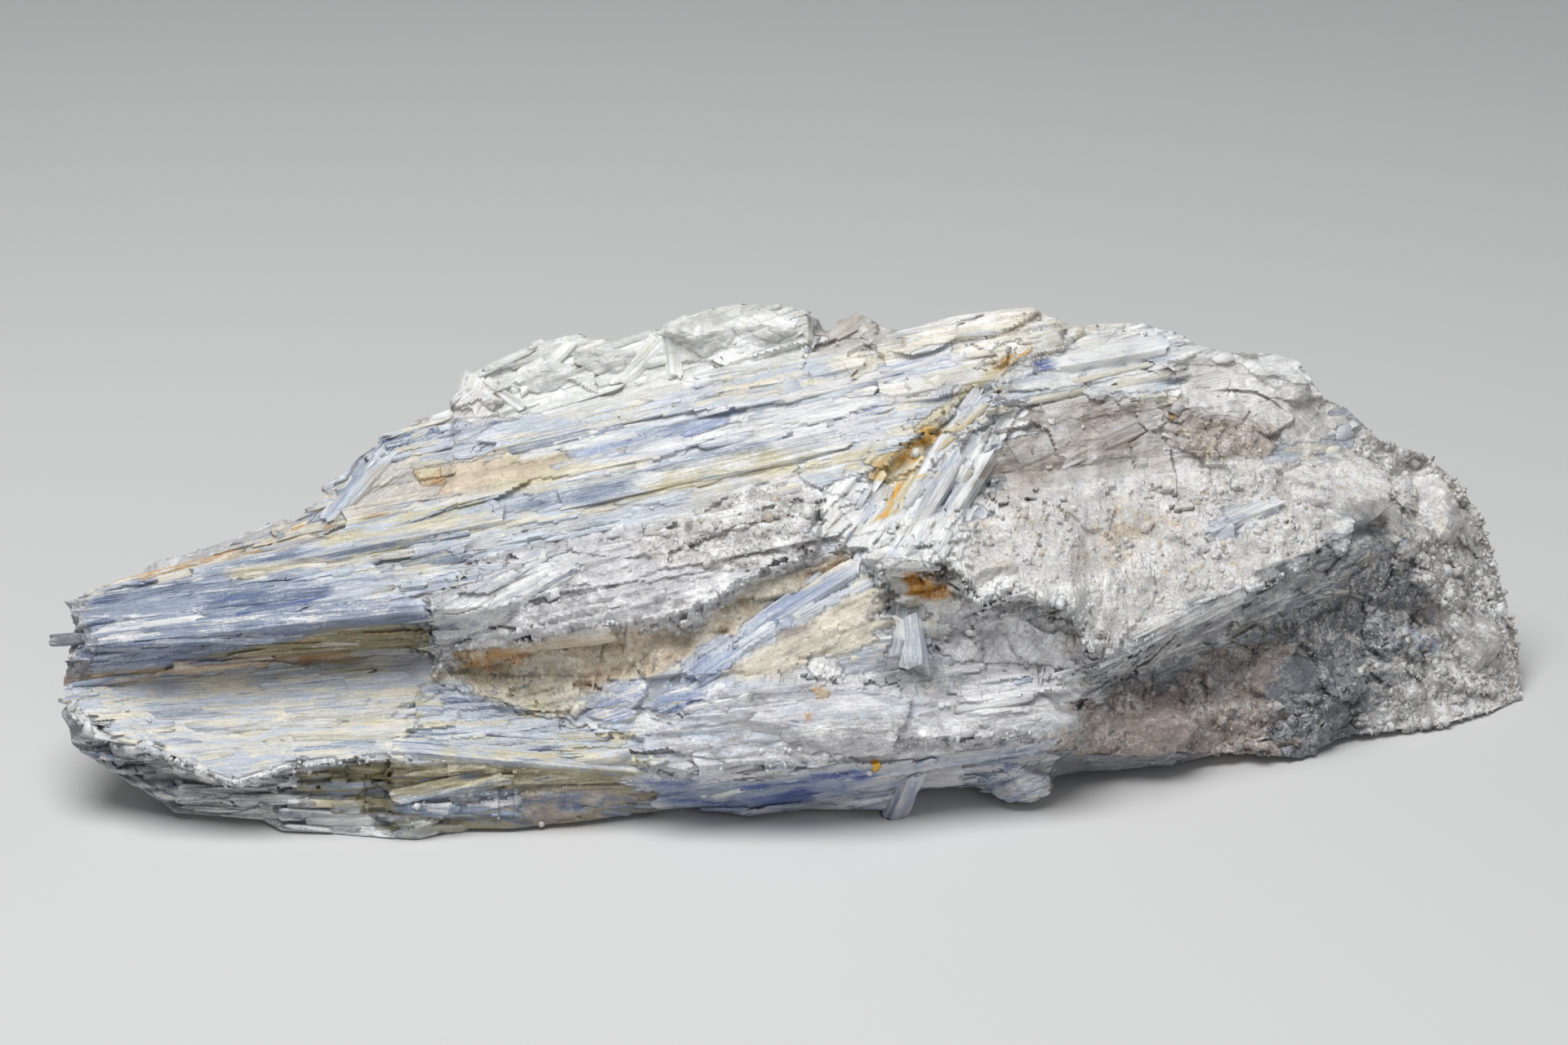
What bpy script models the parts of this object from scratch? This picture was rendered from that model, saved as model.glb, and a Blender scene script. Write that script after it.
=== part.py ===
"""Kyanite specimen: a broken, naturally grown mass of bladed kyanite with quartz and mica, on a flat cleavage face.

The front is laid out as an eye sees it that stands EYE_DISTANCE away and EYE_RISE above the table. A seen point is
(across, up, near) in millimetres: across and up on a picture plane through the front foot, and near is how far it
stands in front of that plane. Hidden points are plain (x, y, z). Seven seen lines run along the front from the foot
to the skyline, five hidden ones run along the back and the base, and the mass is the skin stretched over all twelve.
The skin is broken into flat facets, single crystals and lumps grow out of it, and a flat face is cut below.
"""

import math

import bmesh
import bpy
import numpy as np

MM = 0.001

# The eye, and the point of the picture plane that it looks at
EYE_DISTANCE = 560.0
EYE_RISE = math.radians(22.0)
EYE_HEIGHT_ON_PLANE = 42.8
PLANE_CENTRE = np.array((-3.95, -22.5, 39.7))
BENCH_SHIFT = np.array((-3.95, -38.5, 0.0))

# Seen lines, from the foot up to the skyline, each from the left end to the right end
FOOT = (
    (-97.4, 13, -3), (-92.4, 9.2, -3), (-87.4, 6.2, -3), (-82.9, 3.3, -4), (-71.1, 2.4, -3),
    (-68.3, 0.9, -1), (-62.2, 0.6, -1), (-54.4, 0, 0.5), (-50, -0.3, 1), (-44.4, 1.2, -1), (-37, 1.2, -1),
    (-26.3, 2.3, -3), (-19.3, 3.4, -5), (-12.3, 4.1, -6), (-4.7, 2.9, -4), (3, 3.8, -6), (13.7, 3.7, -5),
    (18.2, 6.7, -8), (25.9, 6.9, -10), (32, 4.8, -9), (37.3, 8.3, -12), (52.6, 9.9, -18), (59.8, 11.6, -20),
    (70.4, 10.8, -22), (76.3, 13.9, -27), (88.7, 15.2, -31), (96.3, 17.2, -37), (100.2, 19.2, -42),
)
LOWER_EDGE = (
    (-98.1, 17.4, 0), (-94, 13.7, 2), (-87, 12, 4), (-82, 10.1, 4.5), (-74.4, 7.2, 5), (-68.3, 9.2, 5),
    (-54.1, 10.7, 4), (-37.8, 11.1, 3), (-22.2, 10.6, 3), (-11.1, 8.9, 4), (4.4, 8.9, 4), (15.6, 11.1, 3.5),
    (26.7, 11.7, 1), (36.7, 13.9, -2), (42.2, 15, -8), (54.4, 16.1, -17), (71.1, 17.8, -20),
    (77.8, 20.6, -25), (84.4, 19.4, -30), (93.3, 20.6, -37), (100.4, 19.9, -42),
)
GROOVE = (
    (-98.6, 21, -2.5), (-91, 21, -6), (-84.4, 21.4, -8), (-62.2, 24.3, -8), (-51.1, 25.9, -8),
    (-46.1, 25, -5), (-35.6, 19.4, -2), (-21.1, 18.3, 1), (-6.7, 19.4, 5), (4.4, 20.6, 4), (15.6, 22.8, 1),
    (21.1, 26.1, -3), (27.8, 26.7, -3), (37.8, 26.1, -2), (42.2, 21.1, -7), (48.9, 22.8, -14),
    (54.4, 25, -19), (62.2, 27.2, -22), (71.1, 29.4, -26), (77.8, 30.6, -29), (83.3, 31.7, -32),
    (88.9, 30, -37), (95.6, 24.7, -41), (100.3, 20.8, -43),
)
LIP = (
    (-95.1, 26.1, -2), (-85.6, 26.3, 0), (-73.3, 27.4, 0), (-62.2, 29.2, 0), (-48.7, 31.1, 0.5),
    (-44.4, 31.1, 2), (-34.4, 32.2, 2), (-23.3, 31.1, 1), (-12.2, 33.9, 0), (10, 37.2, 0.5),
    (18.9, 36.1, 1), (26.7, 31.9, 1), (33.3, 33.3, 0), (38.9, 31.1, 0), (41.7, 25, -1), (46.7, 25.2, -6),
    (51.7, 28.6, -9), (57.8, 31.4, -12), (67.3, 34.8, -16), (73.3, 37.2, -20), (77.8, 38.4, -24),
    (83.3, 37.6, -30), (88.9, 35.4, -35), (95.6, 28.7, -41), (100.3, 21.9, -43.5),
)
SHOULDER = (
    (-96.4, 28.9, -4), (-73.3, 32.2, -3), (-62.2, 33.9, -3), (-53.3, 36.1, -4), (-44.4, 37.2, -2),
    (-34.4, 38.3, -1), (-23.3, 39.4, -3), (-12.2, 41.7, -4), (7.8, 47.2, -6), (15.6, 46.1, -5),
    (22.2, 47.2, -6), (27.8, 49.4, -11), (37.8, 50, -15), (51.1, 51.7, -20), (60, 51.7, -22),
    (66.7, 51.1, -24), (73.3, 48.3, -27), (77.8, 45.6, -30), (83.3, 44.4, -36), (88.9, 41, -40),
    (95.6, 31.9, -43.5), (100.2, 22.7, -44),
)
UPPER = (
    (-96.7, 30.8, -7), (-84.4, 33.3, -7), (-73.3, 36.1, -8), (-62.2, 38.3, -9), (-53.3, 42.8, -11),
    (-44.4, 48.3, -11), (-34.4, 51.7, -12), (-23.3, 55, -13), (-12.2, 57.2, -14), (-1.1, 59.4, -14),
    (10, 61.7, -15), (21.1, 62.8, -16), (30, 58.3, -15), (37.8, 58.3, -18), (48.9, 59.4, -21),
    (60, 59.4, -26), (66.7, 59.4, -30), (73.3, 55, -34), (80, 50.2, -38), (86.7, 46.6, -42), (92, 41, -44),
    (96.3, 33.6, -45), (100, 23.4, -45),
)
SKYLINE = (
    (-96.7, 32.3, -10), (-93.3, 33.7, -11), (-80, 37.6, -12), (-73.3, 40.1, -13), (-66.7, 42.8, -15),
    (-63.9, 44.8, -15), (-61.1, 48.3, -15), (-57.8, 51.7, -16), (-54.4, 54.1, -17), (-50, 56.8, -17),
    (-45.6, 57.8, -18), (-44.8, 60.3, -18), (-40, 64.2, -19), (-33.3, 67.1, -21), (-30, 68.2, -22),
    (-23.3, 67.4, -22), (-17.8, 68.6, -22), (-13.3, 70.3, -21), (-10, 71.9, -21), (-6.1, 72.6, -21),
    (0.6, 72.1, -22), (3.3, 71, -22), (4.1, 68.4, -23), (6, 68.2, -23), (7.1, 69.8, -24), (10, 71.4, -24),
    (12.8, 69.6, -24), (15.6, 68.7, -23), (23.3, 70.9, -22), (30, 71.8, -22), (33.6, 72.1, -23),
    (36.9, 70.4, -24), (40, 69.4, -26), (43.3, 69.9, -28), (48.9, 69.9, -29), (53.3, 68.4, -30),
    (57.2, 66.7, -32), (60, 66, -34), (66.7, 65.8, -36), (70, 64.8, -37), (71.4, 62.6, -37),
    (73.3, 59.8, -37), (76.7, 58.3, -38), (81.1, 53.9, -40), (87, 52.2, -44), (91, 49, -45),
    (94.3, 44.6, -46), (97.1, 36.1, -46), (100.2, 24.3, -46),
)

# Hidden lines, down the back and under the base: (x, y, z) on the bench, before BENCH_SHIFT
BACK_CREST = (
    (-97, 27, 22), (-68, 36, 29), (-45, 47, 43), (-10, 54, 53), (31, 57, 50), (64, 64, 42), (86, 65, 31),
    (96, 65, 20), (103, 61, 12), (107.5, 54.5, 4.5),
)
BACK_SHOULDER = (
    (-97, 34, 19), (-66, 52, 24), (-40, 63, 32), (-5, 71, 37), (35, 73, 35), (66, 76, 29), (88, 73, 20),
    (97, 70, 13), (104, 65, 7), (107.6, 55.5, 3),
)
BACK_FOOT = (
    (-96, 36, 13), (-64, 56, 7), (-38, 66, 3), (-5, 72, 2), (35, 73, 1), (66, 74, 1), (88, 71, 1),
    (104, 63, 1), (107.6, 55, 1.5),
)
BASE_BACK = (
    (-95, 30, 10), (-64, 45, 2), (-52, 50, -1), (-5, 62, -1), (35, 63, -1), (66, 64, -1), (85, 60, -1),
    (100, 55, -1), (107.4, 51.5, -1),
)
BASE_FRONT = (
    (-95, 18, 10), (-68, 14, 2), (-54, 8, -1), (-15, 14, -1), (5, 14, -1), (35, 22, -1), (66, 31, -1),
    (85, 41, -1), (100, 47, -1), (107.3, 49, -1),
)

# The skin: stations along the length, and the faces and the crown in millimetres from each line to the next
STATIONS = 240
END_TRIM = 0.003
STRIPS = (
    (FOOT, 5, 0.3), (LOWER_EDGE, 7, 0.6), (GROOVE, 4, 0.3), (LIP, 6, 0.5), (SHOULDER, 8, 0.8),
    (UPPER, 6, 1.0), (SKYLINE, 4, 0.8), (BACK_CREST, 11, 2.5), (BACK_SHOULDER, 9, 2.0), (BACK_FOOT, 2, 0.0),
    (BASE_BACK, 1, 0.0), (BASE_FRONT, 2, 0.0),
)
SEEN_STRIPS = 7
BASE_FROM = 9.2
CAP_RINGS = (0.12, 0.45)
CAP_BULGE = 1.2

# The share of the skin's triangles that is left when it is broken into flat facets
KEPT_FACES = 0.165

# The slab that cuts the flat face at height 0: length, width and thickness
BASE_SLAB = (400.0, 300.0, 40.0)

# Relief of the skin, in millimetres: splintery blades run along the grain, and grains are as wide as they are long
BLADE_CELL = (17.0, 3.4, 6.0)
BLADE_RELIEF = 1.1
GRAIN_CELL = (5.5, 5.5, 5.5)
GRAIN_RELIEF = 1.5
BACK_LEDGE_CELL = (46.0, 13.0, 18.0)
BACK_LEDGE_RELIEF = 2.4
BACK_CELL = (17.0, 4.6, 6.0)
BACK_RELIEF = 1.5
UPPER_GRAIN = math.radians(14.0)
LOWER_GRAIN = math.radians(3.0)
BACK_GRAIN = math.radians(-5.0)
BACK_LOOK = np.array((0.0, 0.85, 0.52))
RELIEF_SEED = 7
END_FADE = 9.0

# Grains take over from blades right of a leaning border, up to a height, each over a soft distance
GRAIN_BORDER = 63.4
GRAIN_BORDER_LEAN = 0.9
GRAIN_BORDER_SOFT = 8.0
GRAIN_TOP = 60.0
GRAIN_TOP_SOFT = 6.0
LOWER_GRAIN_TOP = 30.0
LOWER_GRAIN_SOFT = 6.0

# Raised (+) and sunk (-) areas of the front: (lift, softness of the edge, outline of seen points)
STEPS = {
    "layers_under_slab": (-1.8, 0.6, (
        (-95, 16), (-87, 11.2), (-74.5, 7.2), (-54, 10.2), (-54, 0), (-75, 0), (-98, 8))),
    "broken_block": (2.6, 0.5, (
        (-48.6, 32), (-40, 38), (-25, 41), (5, 46.5), (4, 39), (-6, 35), (-13, 30), (-29, 28), (-40, 25.5),
        (-47.5, 22))),
    "ochre_hollow": (-2.2, 1.0, (
        (-44, 22.5), (-37, 26), (-22, 28), (-12, 29), (-2, 36), (10, 38.5), (9.5, 35.5), (-2, 29), (-13, 24.5),
        (-34, 19))),
    "boulder_face": (1.6, 0.8, (
        (-20, 13.5), (-12, 18.5), (0, 22), (14, 21), (27, 19.5), (38, 21), (41, 19), (36, 13.5), (21, 13.2),
        (4, 10.5), (-10, 9), (-18, 9))),
    "iron_pocket": (-5.0, 0.8, (
        (13.5, 36), (17, 37), (22.5, 36.3), (25, 33), (25.5, 27), (20, 26), (15, 28))),
    "under_ledge": (-3.0, 0.8, (
        (26, 30.5), (33, 32.5), (40, 29.5), (42, 24), (36, 22), (27, 23.5))),
    "granite_ledge": (2.2, 0.7, (
        (11, 37.5), (13.3, 35), (18.5, 36.6), (23, 36.8), (26, 31.4), (33.5, 33.2), (38.3, 31), (41.5, 25),
        (48, 24.4), (53, 30), (66, 34.4), (74, 39), (68, 43), (50, 45), (30, 46), (16, 43))),
    "brown_valley": (-2.0, 1.5, (
        (28, 58), (38, 60), (53, 59.5), (53, 51), (38, 47), (28, 46))),
    "dark_hollow": (-1.6, 1.2, (
        (44, 21.5), (60, 30), (74, 38), (83, 39), (84, 30), (76, 19), (50, 18))),
    "rust_fissure": (-2.0, 0.5, (
        (11.5, 45.5), (12, 49), (22, 57), (31, 66.5), (29.5, 61), (23, 53), (15.5, 46))),
    "end_hollow": (-2.5, 1.0, (
        (83, 38), (87, 39), (88, 30), (84, 27))),
}

# Flat-sided crystals on the front: (seen start, seen end, width, thickness, height above the skin, roll in degrees)
CRYSTALS = {
    "finger": ((-99.6, 26.7), (-88.0, 27.4), 1.9, 1.7, -0.2, 10),
    "lip_blade": ((-94.4, 26.1), (-48.6, 30.9), 2.4, 4.0, 0.9, 4),
    "block_blade_1": ((-96.2, 28.6), (-49.0, 34.0), 3.4, 5.0, 0.5, -8),
    "block_blade_2": ((-96.6, 30.6), (-62.0, 36.8), 3.2, 5.0, 0.2, 14),
    "block_blade_3": ((-80.0, 34.6), (-38.0, 42.6), 3.2, 4.6, 0.4, -14),
    "steep_blade": ((-61.6, 42.4), (-53.2, 51.8), 3.4, 4.0, 0.2, -20),
    "top_blade_1": ((-60.0, 42.0), (-14.0, 52.0), 5.4, 6.0, 0.3, 10),
    "top_blade_2": ((-40.0, 52.6), (10.0, 64.0), 5.6, 6.0, 0.2, -8),
    "top_blade_3": ((-30.0, 45.2), (8.0, 53.6), 4.4, 6.0, 0.4, 10),
    "summit_blade_1": ((13.0, 64.6), (33.0, 68.8), 5.0, 6.0, 0.2, 12),
    "summit_blade_2": ((16.0, 59.6), (51.0, 65.6), 4.4, 6.0, 0.2, -12),
    "summit_blade_3": ((34.0, 56.2), (59.0, 61.6), 4.4, 5.0, 0.2, 10),
    "broken_blade_1": ((-48.4, 29.2), (-12.0, 36.4), 6.2, 7.0, 1.4, 14),
    "broken_blade_2": ((-47.6, 25.6), (-24.0, 29.4), 5.0, 6.0, 1.0, -12),
    "broken_blade_3": ((-34.0, 35.4), (6.0, 44.6), 5.0, 6.0, 1.0, -10),
    "diagonal_blade": ((-13.8, 21.4), (10.4, 36.4), 3.8, 4.4, 0.9, -8),
    "fan_1": ((4.5, 37.0), (12.5, 49.0), 3.4, 4.0, 0.6, 10),
    "fan_2": ((11.4, 36.5), (20.5, 52.0), 3.4, 4.0, 0.8, -12),
    "fan_3": ((16.0, 38.5), (25.5, 55.5), 3.2, 4.0, 0.8, 15),
    "fan_4": ((20.5, 39.5), (29.5, 54.5), 3.6, 4.0, 0.4, -10),
    "shelf": ((16.3, 29.6), (17.0, 22.6), 5.6, 5.0, 1.2, 5),
    "plate": ((57.0, 41.0), (67.0, 45.2), 3.2, 3.4, 0.8, -10),
    "pointed_crystal": ((17.5, 9.0), (14.6, 2.0), 3.2, 3.0, -0.4, 20),
    "layer_1": ((-91.0, 11.2), (-44.0, 8.6), 2.6, 7.0, 1.0, 8),
    "layer_2": ((-86.6, 8.4), (-37.6, 6.2), 2.4, 7.0, 0.7, -6),
    "layer_3": ((-82.0, 5.6), (-44.0, 3.6), 2.2, 6.0, 0.8, 6),
    "layer_4": ((-68.0, 2.6), (-33.0, 3.4), 2.4, 6.0, 0.5, -6),
    "layer_5": ((-53.0, 11.4), (-17.0, 8.2), 3.0, 5.0, 0.7, -8),
    "splinter": ((-53.0, 5.2), (-38.0, 8.4), 2.8, 4.0, 1.2, 15),
    "ledge_1": ((-17.6, 5.4), (24.0, 8.8), 3.0, 5.0, 0.9, 8),
    "ledge_2": ((-12.0, 9.4), (37.0, 14.0), 3.4, 5.0, 0.7, -8),
    "right_ledge": ((42.0, 23.4), (72.0, 38.0), 4.0, 6.0, 0.7, -10),
    "valley_blade": ((31.0, 51.5), (51.0, 57.5), 3.2, 4.4, 0.4, 10),
}

# The six corners of a crystal's section in shares of its width and thickness, and how its two broken ends slant
CRYSTAL_SECTION = ((-0.5, 0.1), (-0.32, 0.5), (0.36, 0.42), (0.5, -0.05), (0.3, -0.5), (-0.38, -0.46))
CRYSTAL_END_SLANTS = (0.6, -0.7)
CRYSTAL_UPWARD_LEAN = 0.6

# Angular grains and lumps on the front: (seen centre, half width, half height, half depth)
LUMPS = {
    "window_lump": ((-40.6, 59.0), 4.6, 3.2, 4.4),
    "ridge_lump_1": ((-33.0, 63.0), 5.4, 4.2, 5.0),
    "ridge_lump_2": ((-23.5, 64.4), 6.4, 3.8, 5.0),
    "ridge_lump_3": ((-11.6, 68.0), 6.6, 4.0, 5.4),
    "ridge_lump_4": ((-2.4, 68.8), 5.8, 3.6, 5.0),
    "far_knob": ((9.8, 68.0), 3.4, 3.8, 3.6),
    "far_white_lump": ((66.0, 61.6), 5.6, 3.6, 5.0),
    "boulder_1": ((5.0, 15.2), 16.0, 4.6, 5.4),
    "boulder_2": ((30.0, 17.4), 9.4, 4.8, 6.0),
    "foot_lump": ((31.6, 7.6), 5.2, 3.0, 4.6),
    "edge_lump_1": ((16.4, 37.4), 5.4, 3.0, 5.0),
    "edge_lump_2": ((27.6, 34.8), 6.6, 3.2, 6.0),
    "quartz_lump_1": ((49.5, 15.6), 7.4, 4.6, 5.0),
    "quartz_lump_2": ((66.0, 19.8), 7.4, 5.6, 5.2),
    "plateau_lump": ((72.0, 47.6), 9.6, 6.4, 6.0),
    "end_lump_1": ((86.0, 43.6), 6.4, 6.0, 6.0),
    "end_lump_2": ((91.0, 27.8), 6.0, 6.6, 5.6),
}
LUMP_BALL = 1.12
LUMP_UNEVENNESS = 0.14
LUMP_SINK = 0.75

KYANITE_COLOUR = (0.56, 0.60, 0.64, 1.0)
KYANITE_ROUGHNESS = 0.42


def eye_axes():
    """The picture's right, its up, and the way towards the eye."""
    right = np.array((1.0, 0.0, 0.0))
    up = np.array((0.0, math.sin(EYE_RISE), math.cos(EYE_RISE)))
    toward = np.array((0.0, -math.cos(EYE_RISE), math.sin(EYE_RISE)))
    return right, up, toward


def from_seen(seen):
    """Seen points (across, up, near) as x, y, z: each slides along the eye's ray through it to that nearness."""
    seen = np.asarray(seen, float)
    right, up, toward = eye_axes()
    spread = ((EYE_DISTANCE - seen[..., 2]) / EYE_DISTANCE)[..., None]
    across = seen[..., 0:1] * right
    above = (seen[..., 1:2] - EYE_HEIGHT_ON_PLANE) * up
    return PLANE_CENTRE + spread * (across + above) + seen[..., 2:3] * toward


def to_seen(points):
    """The seen coordinates of x, y, z points."""
    right, up, toward = eye_axes()
    local = np.asarray(points, float) - PLANE_CENTRE
    near = local @ toward
    spread = (EYE_DISTANCE - near) / EYE_DISTANCE
    return np.stack([local @ right / spread, local @ up / spread + EYE_HEIGHT_ON_PLANE, near], -1)


def smooth(x):
    """0 below 0, 1 above 1, and an S between."""
    x = np.clip(x, 0.0, 1.0)
    return x * x * (3.0 - 2.0 * x)


def lattice(cell, seed):
    """A fixed pseudo-random number from 0 to 1 for each whole-number cell (n, 3)."""
    c = cell.astype(np.int64)
    n = (c[..., 0] * 73856093) ^ (c[..., 1] * 19349663) ^ (c[..., 2] * 83492791) ^ (seed * 2654435761)
    n = (n ^ (n >> 13)) & 0x7FFFFFFF
    n = (n * 1274126177) & 0x7FFFFFFF
    n = (n ^ (n >> 16)) & 0x7FFFFFFF
    return (n % 65521) / 65521.0


def facets(points, size, seed):
    """Broken facets: space is split round one jittered seed point a cell, and each share is a plane with its own
    height and tilt. The result runs from about -1 to 1."""
    p = points / np.asarray(size, float)
    home = np.floor(p)
    best = np.full(len(p), np.inf)
    height = np.zeros(len(p))
    for dx in (-1, 0, 1):
        for dy in (-1, 0, 1):
            for dz in (-1, 0, 1):
                cell = home + (dx, dy, dz)
                centre = cell + np.stack([lattice(cell, seed + k) for k in range(3)], -1)
                away = p - centre
                distance = (away**2).sum(-1)
                tilt = np.stack([lattice(cell, seed + k) - 0.5 for k in range(3, 6)], -1)
                plane = 1.4 * (lattice(cell, seed + 6) - 0.5) + 1.3 * (away * tilt).sum(-1)
                closer = distance < best
                best = np.where(closer, distance, best)
                height = np.where(closer, plane, height)
    return height


def inside(across, up, outline, soft):
    """1 inside a closed outline and 0 outside it, passing from one to the other over the soft distance."""
    away = np.full(len(across), np.inf)
    within = np.zeros(len(across), bool)
    for (x0, y0), (x1, y1) in zip(outline, outline[1:] + outline[:1]):
        ex, ey = x1 - x0, y1 - y0
        t = np.clip(((across - x0) * ex + (up - y0) * ey) / (ex * ex + ey * ey), 0.0, 1.0)
        away = np.minimum(away, np.hypot(across - x0 - t * ex, up - y0 - t * ey))
        crosses = (y0 > up) != (y1 > up)
        if ey:
            within ^= crosses & (across < x0 + (up - y0) * ex / ey)
    return smooth(0.5 + np.where(within, away, -away) / (2.0 * soft))


def line_points(line, shares, seen):
    """Points at these shares of a line's reach, as x, y, z. The line is straight between its own points."""
    table = np.array(line, float)
    across = table[0, 0] + shares * (table[-1, 0] - table[0, 0])
    rest = [np.interp(across, table[:, 0], table[:, k]) for k in (1, 2)]
    points = np.stack([across, *rest], -1)
    return from_seen(points) if seen else points + BENCH_SHIFT


def skin_grid():
    """The bare skin as rings (stations, round, 3), and how far round each column lies: strip number + share."""
    shares = np.linspace(END_TRIM, 1.0 - END_TRIM, STATIONS)
    lines = [line_points(line, shares, k < SEEN_STRIPS) for k, (line, _, _) in enumerate(STRIPS)]
    middle = sum(lines) / len(lines)
    columns, places = [], []
    for k, (_, faces, crown) in enumerate(STRIPS):
        low, high = lines[k], lines[(k + 1) % len(lines)]
        edge = high - low
        edge[:, 0] = 0.0
        out = np.stack([np.zeros(STATIONS), edge[:, 2], -edge[:, 1]], -1)
        out /= np.linalg.norm(out, axis=1, keepdims=True) + 1e-9
        facing = np.sign(((low + high) / 2 - middle)[:, 1:] * out[:, 1:]).sum(-1, keepdims=True)
        out *= np.where(facing < 0, -1.0, 1.0)
        for j in range(faces):
            f = j / faces
            columns.append(low + (high - low) * f + out * crown * 4.0 * f * (1.0 - f))
            places.append(k + f)
    return np.stack(columns, 1), np.array(places)


def blade_coordinates(points, angle):
    """Distances along the grain, across it, and in depth, where the grain rises by the angle to the right."""
    c, s = np.cos(angle), np.sin(angle)
    return np.stack([points[:, 0] * c + points[:, 1] * s, -points[:, 0] * s + points[:, 1] * c, points[:, 2]], -1)


def lift_directions(places):
    """Which way the relief stands out: to the eye on the front, to BACK_LOOK on the back, and up between them."""
    _, _, toward = eye_axes()
    over = smooth(places - SEEN_STRIPS + 1.0)[:, None]
    way = toward * (1.0 - over) + BACK_LOOK * over
    return way / np.linalg.norm(way, axis=1, keepdims=True)


def relief(points, places):
    """The skin's relief: blades over the left and the top, grains over the right, and the raised and sunk areas."""
    seen = to_seen(points)
    front = places < SEEN_STRIPS
    lower_left = smooth((LOWER_GRAIN_TOP - seen[:, 1]) / LOWER_GRAIN_SOFT)
    angle = UPPER_GRAIN + (LOWER_GRAIN - UPPER_GRAIN) * lower_left
    blades = BLADE_RELIEF * facets(blade_coordinates(seen, angle), BLADE_CELL, RELIEF_SEED)
    local = points - PLANE_CENTRE
    grains = GRAIN_RELIEF * facets(local, GRAIN_CELL, RELIEF_SEED + 20)
    behind = blade_coordinates(local[:, [0, 2, 1]], BACK_GRAIN)
    back = BACK_LEDGE_RELIEF * facets(behind, BACK_LEDGE_CELL, RELIEF_SEED + 60)
    back += BACK_RELIEF * facets(behind, BACK_CELL, RELIEF_SEED + 80)
    granular = smooth((seen[:, 0] + GRAIN_BORDER_LEAN * seen[:, 1] - GRAIN_BORDER) / GRAIN_BORDER_SOFT)
    granular *= smooth((GRAIN_TOP - seen[:, 1]) / GRAIN_TOP_SOFT)
    on_front = blades + (grains - blades) * granular
    over = smooth((places - SEEN_STRIPS + 0.6) / 0.6)
    to_end = np.minimum(points[:, 0] - points[:, 0].min(), points[:, 0].max() - points[:, 0])
    near_base = smooth((BASE_FROM - places) / 0.6) * smooth(places / 0.5)
    fade = smooth(to_end / END_FADE) * near_base
    lift = on_front + (back - on_front) * over
    for height, soft, outline in STEPS.values():
        lift += height * inside(seen[:, 0], seen[:, 1], outline, soft) * front
    return points + lift_directions(places) * (lift * fade)[:, None]


def skin():
    """The finished skin as rings, with its places."""
    rings, places = skin_grid()
    shape = rings.shape
    spread = np.broadcast_to(places, shape[:2]).reshape(-1)
    return relief(rings.reshape(-1, 3), spread).reshape(shape), places


def object_from(bm, name):
    """The bmesh as a named object in the scene, with its normals facing out."""
    bmesh.ops.recalc_face_normals(bm, faces=bm.faces)
    mesh = bpy.data.meshes.new(name)
    bm.to_mesh(mesh)
    bm.free()
    obj = bpy.data.objects.new(name, mesh)
    bpy.context.scene.collection.objects.link(obj)
    return obj


def mass(rings):
    """The closed mass: faces between neighbouring rings, and each end closed by rings that shrink to a point."""
    bm = bmesh.new()
    ends = []
    for ring, way in ((rings[0], -1.0), (rings[-1], 1.0)):
        tip = (ring.min(0) + ring.max(0)) / 2
        tip[0] += way * (np.ptp(ring[:, 0]) / 2 + CAP_BULGE)
        ends.append(([ring + (tip - ring) * s for s in CAP_RINGS], tip))
    loops = [*reversed(ends[0][0]), *rings, *ends[1][0]]
    verts = [[bm.verts.new(p * MM) for p in loop] for loop in loops]
    for low, high in zip(verts, verts[1:]):
        for j in range(len(low)):
            k = (j + 1) % len(low)
            bm.faces.new((low[j], low[k], high[k], high[j]))
    for loop, (_, tip) in zip((verts[0], verts[-1]), ends):
        apex = bm.verts.new(tip * MM)
        for j in range(len(loop)):
            bm.faces.new((loop[j], loop[(j + 1) % len(loop)], apex))
    bmesh.ops.triangulate(bm, faces=bm.faces)
    return object_from(bm, "kyanite_specimen")


def prism(name, start, end, side, width, thickness, roll):
    """A flattened six-sided crystal from start to end with slanting broken ends. side is roughly its flat face's
    outward direction, and roll turns it about its own length."""
    length = end - start
    reach = np.linalg.norm(length)
    along = length / reach
    face = side - along * (side @ along)
    face /= np.linalg.norm(face)
    across = np.cross(along, face)
    c, s = math.cos(math.radians(roll)), math.sin(math.radians(roll))
    face, across = face * c + across * s, across * c - face * s
    bm = bmesh.new()
    loops = []
    for share, slant in zip((0.0, 1.0), CRYSTAL_END_SLANTS):
        loop = []
        for a, b in CRYSTAL_SECTION:
            point = start + along * (share * reach + slant * a * width)
            point = point + across * a * width + face * b * thickness
            loop.append(bm.verts.new(point * MM))
        loops.append(loop)
    for low, high in zip(loops, loops[1:]):
        for j in range(len(low)):
            k = (j + 1) % len(low)
            bm.faces.new((low[j], low[k], high[k], high[j]))
    bm.faces.new(loops[0])
    bm.faces.new(loops[-1])
    bmesh.ops.triangulate(bm, faces=bm.faces)
    return object_from(bm, name)


def lump(name, centre, half_width, half_height, half_depth):
    """A broken grain: a 20-sided ball with uneven corners, stretched."""
    right, up, toward = eye_axes()
    bm = bmesh.new()
    bmesh.ops.create_icosphere(bm, subdivisions=1, radius=LUMP_BALL)
    ball = np.array([v.co for v in bm.verts])
    stretch = ball[:, 0:1] * half_width * right + ball[:, 2:3] * half_height * up + ball[:, 1:2] * half_depth * toward
    uneven = 1.0 + LUMP_UNEVENNESS * facets(ball * 2.0 + centre - PLANE_CENTRE, (1.0, 1.0, 1.0), RELIEF_SEED + 40)
    for vert, point in zip(bm.verts, centre + stretch * uneven[:, None]):
        vert.co = point * MM
    return object_from(bm, name)


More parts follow.
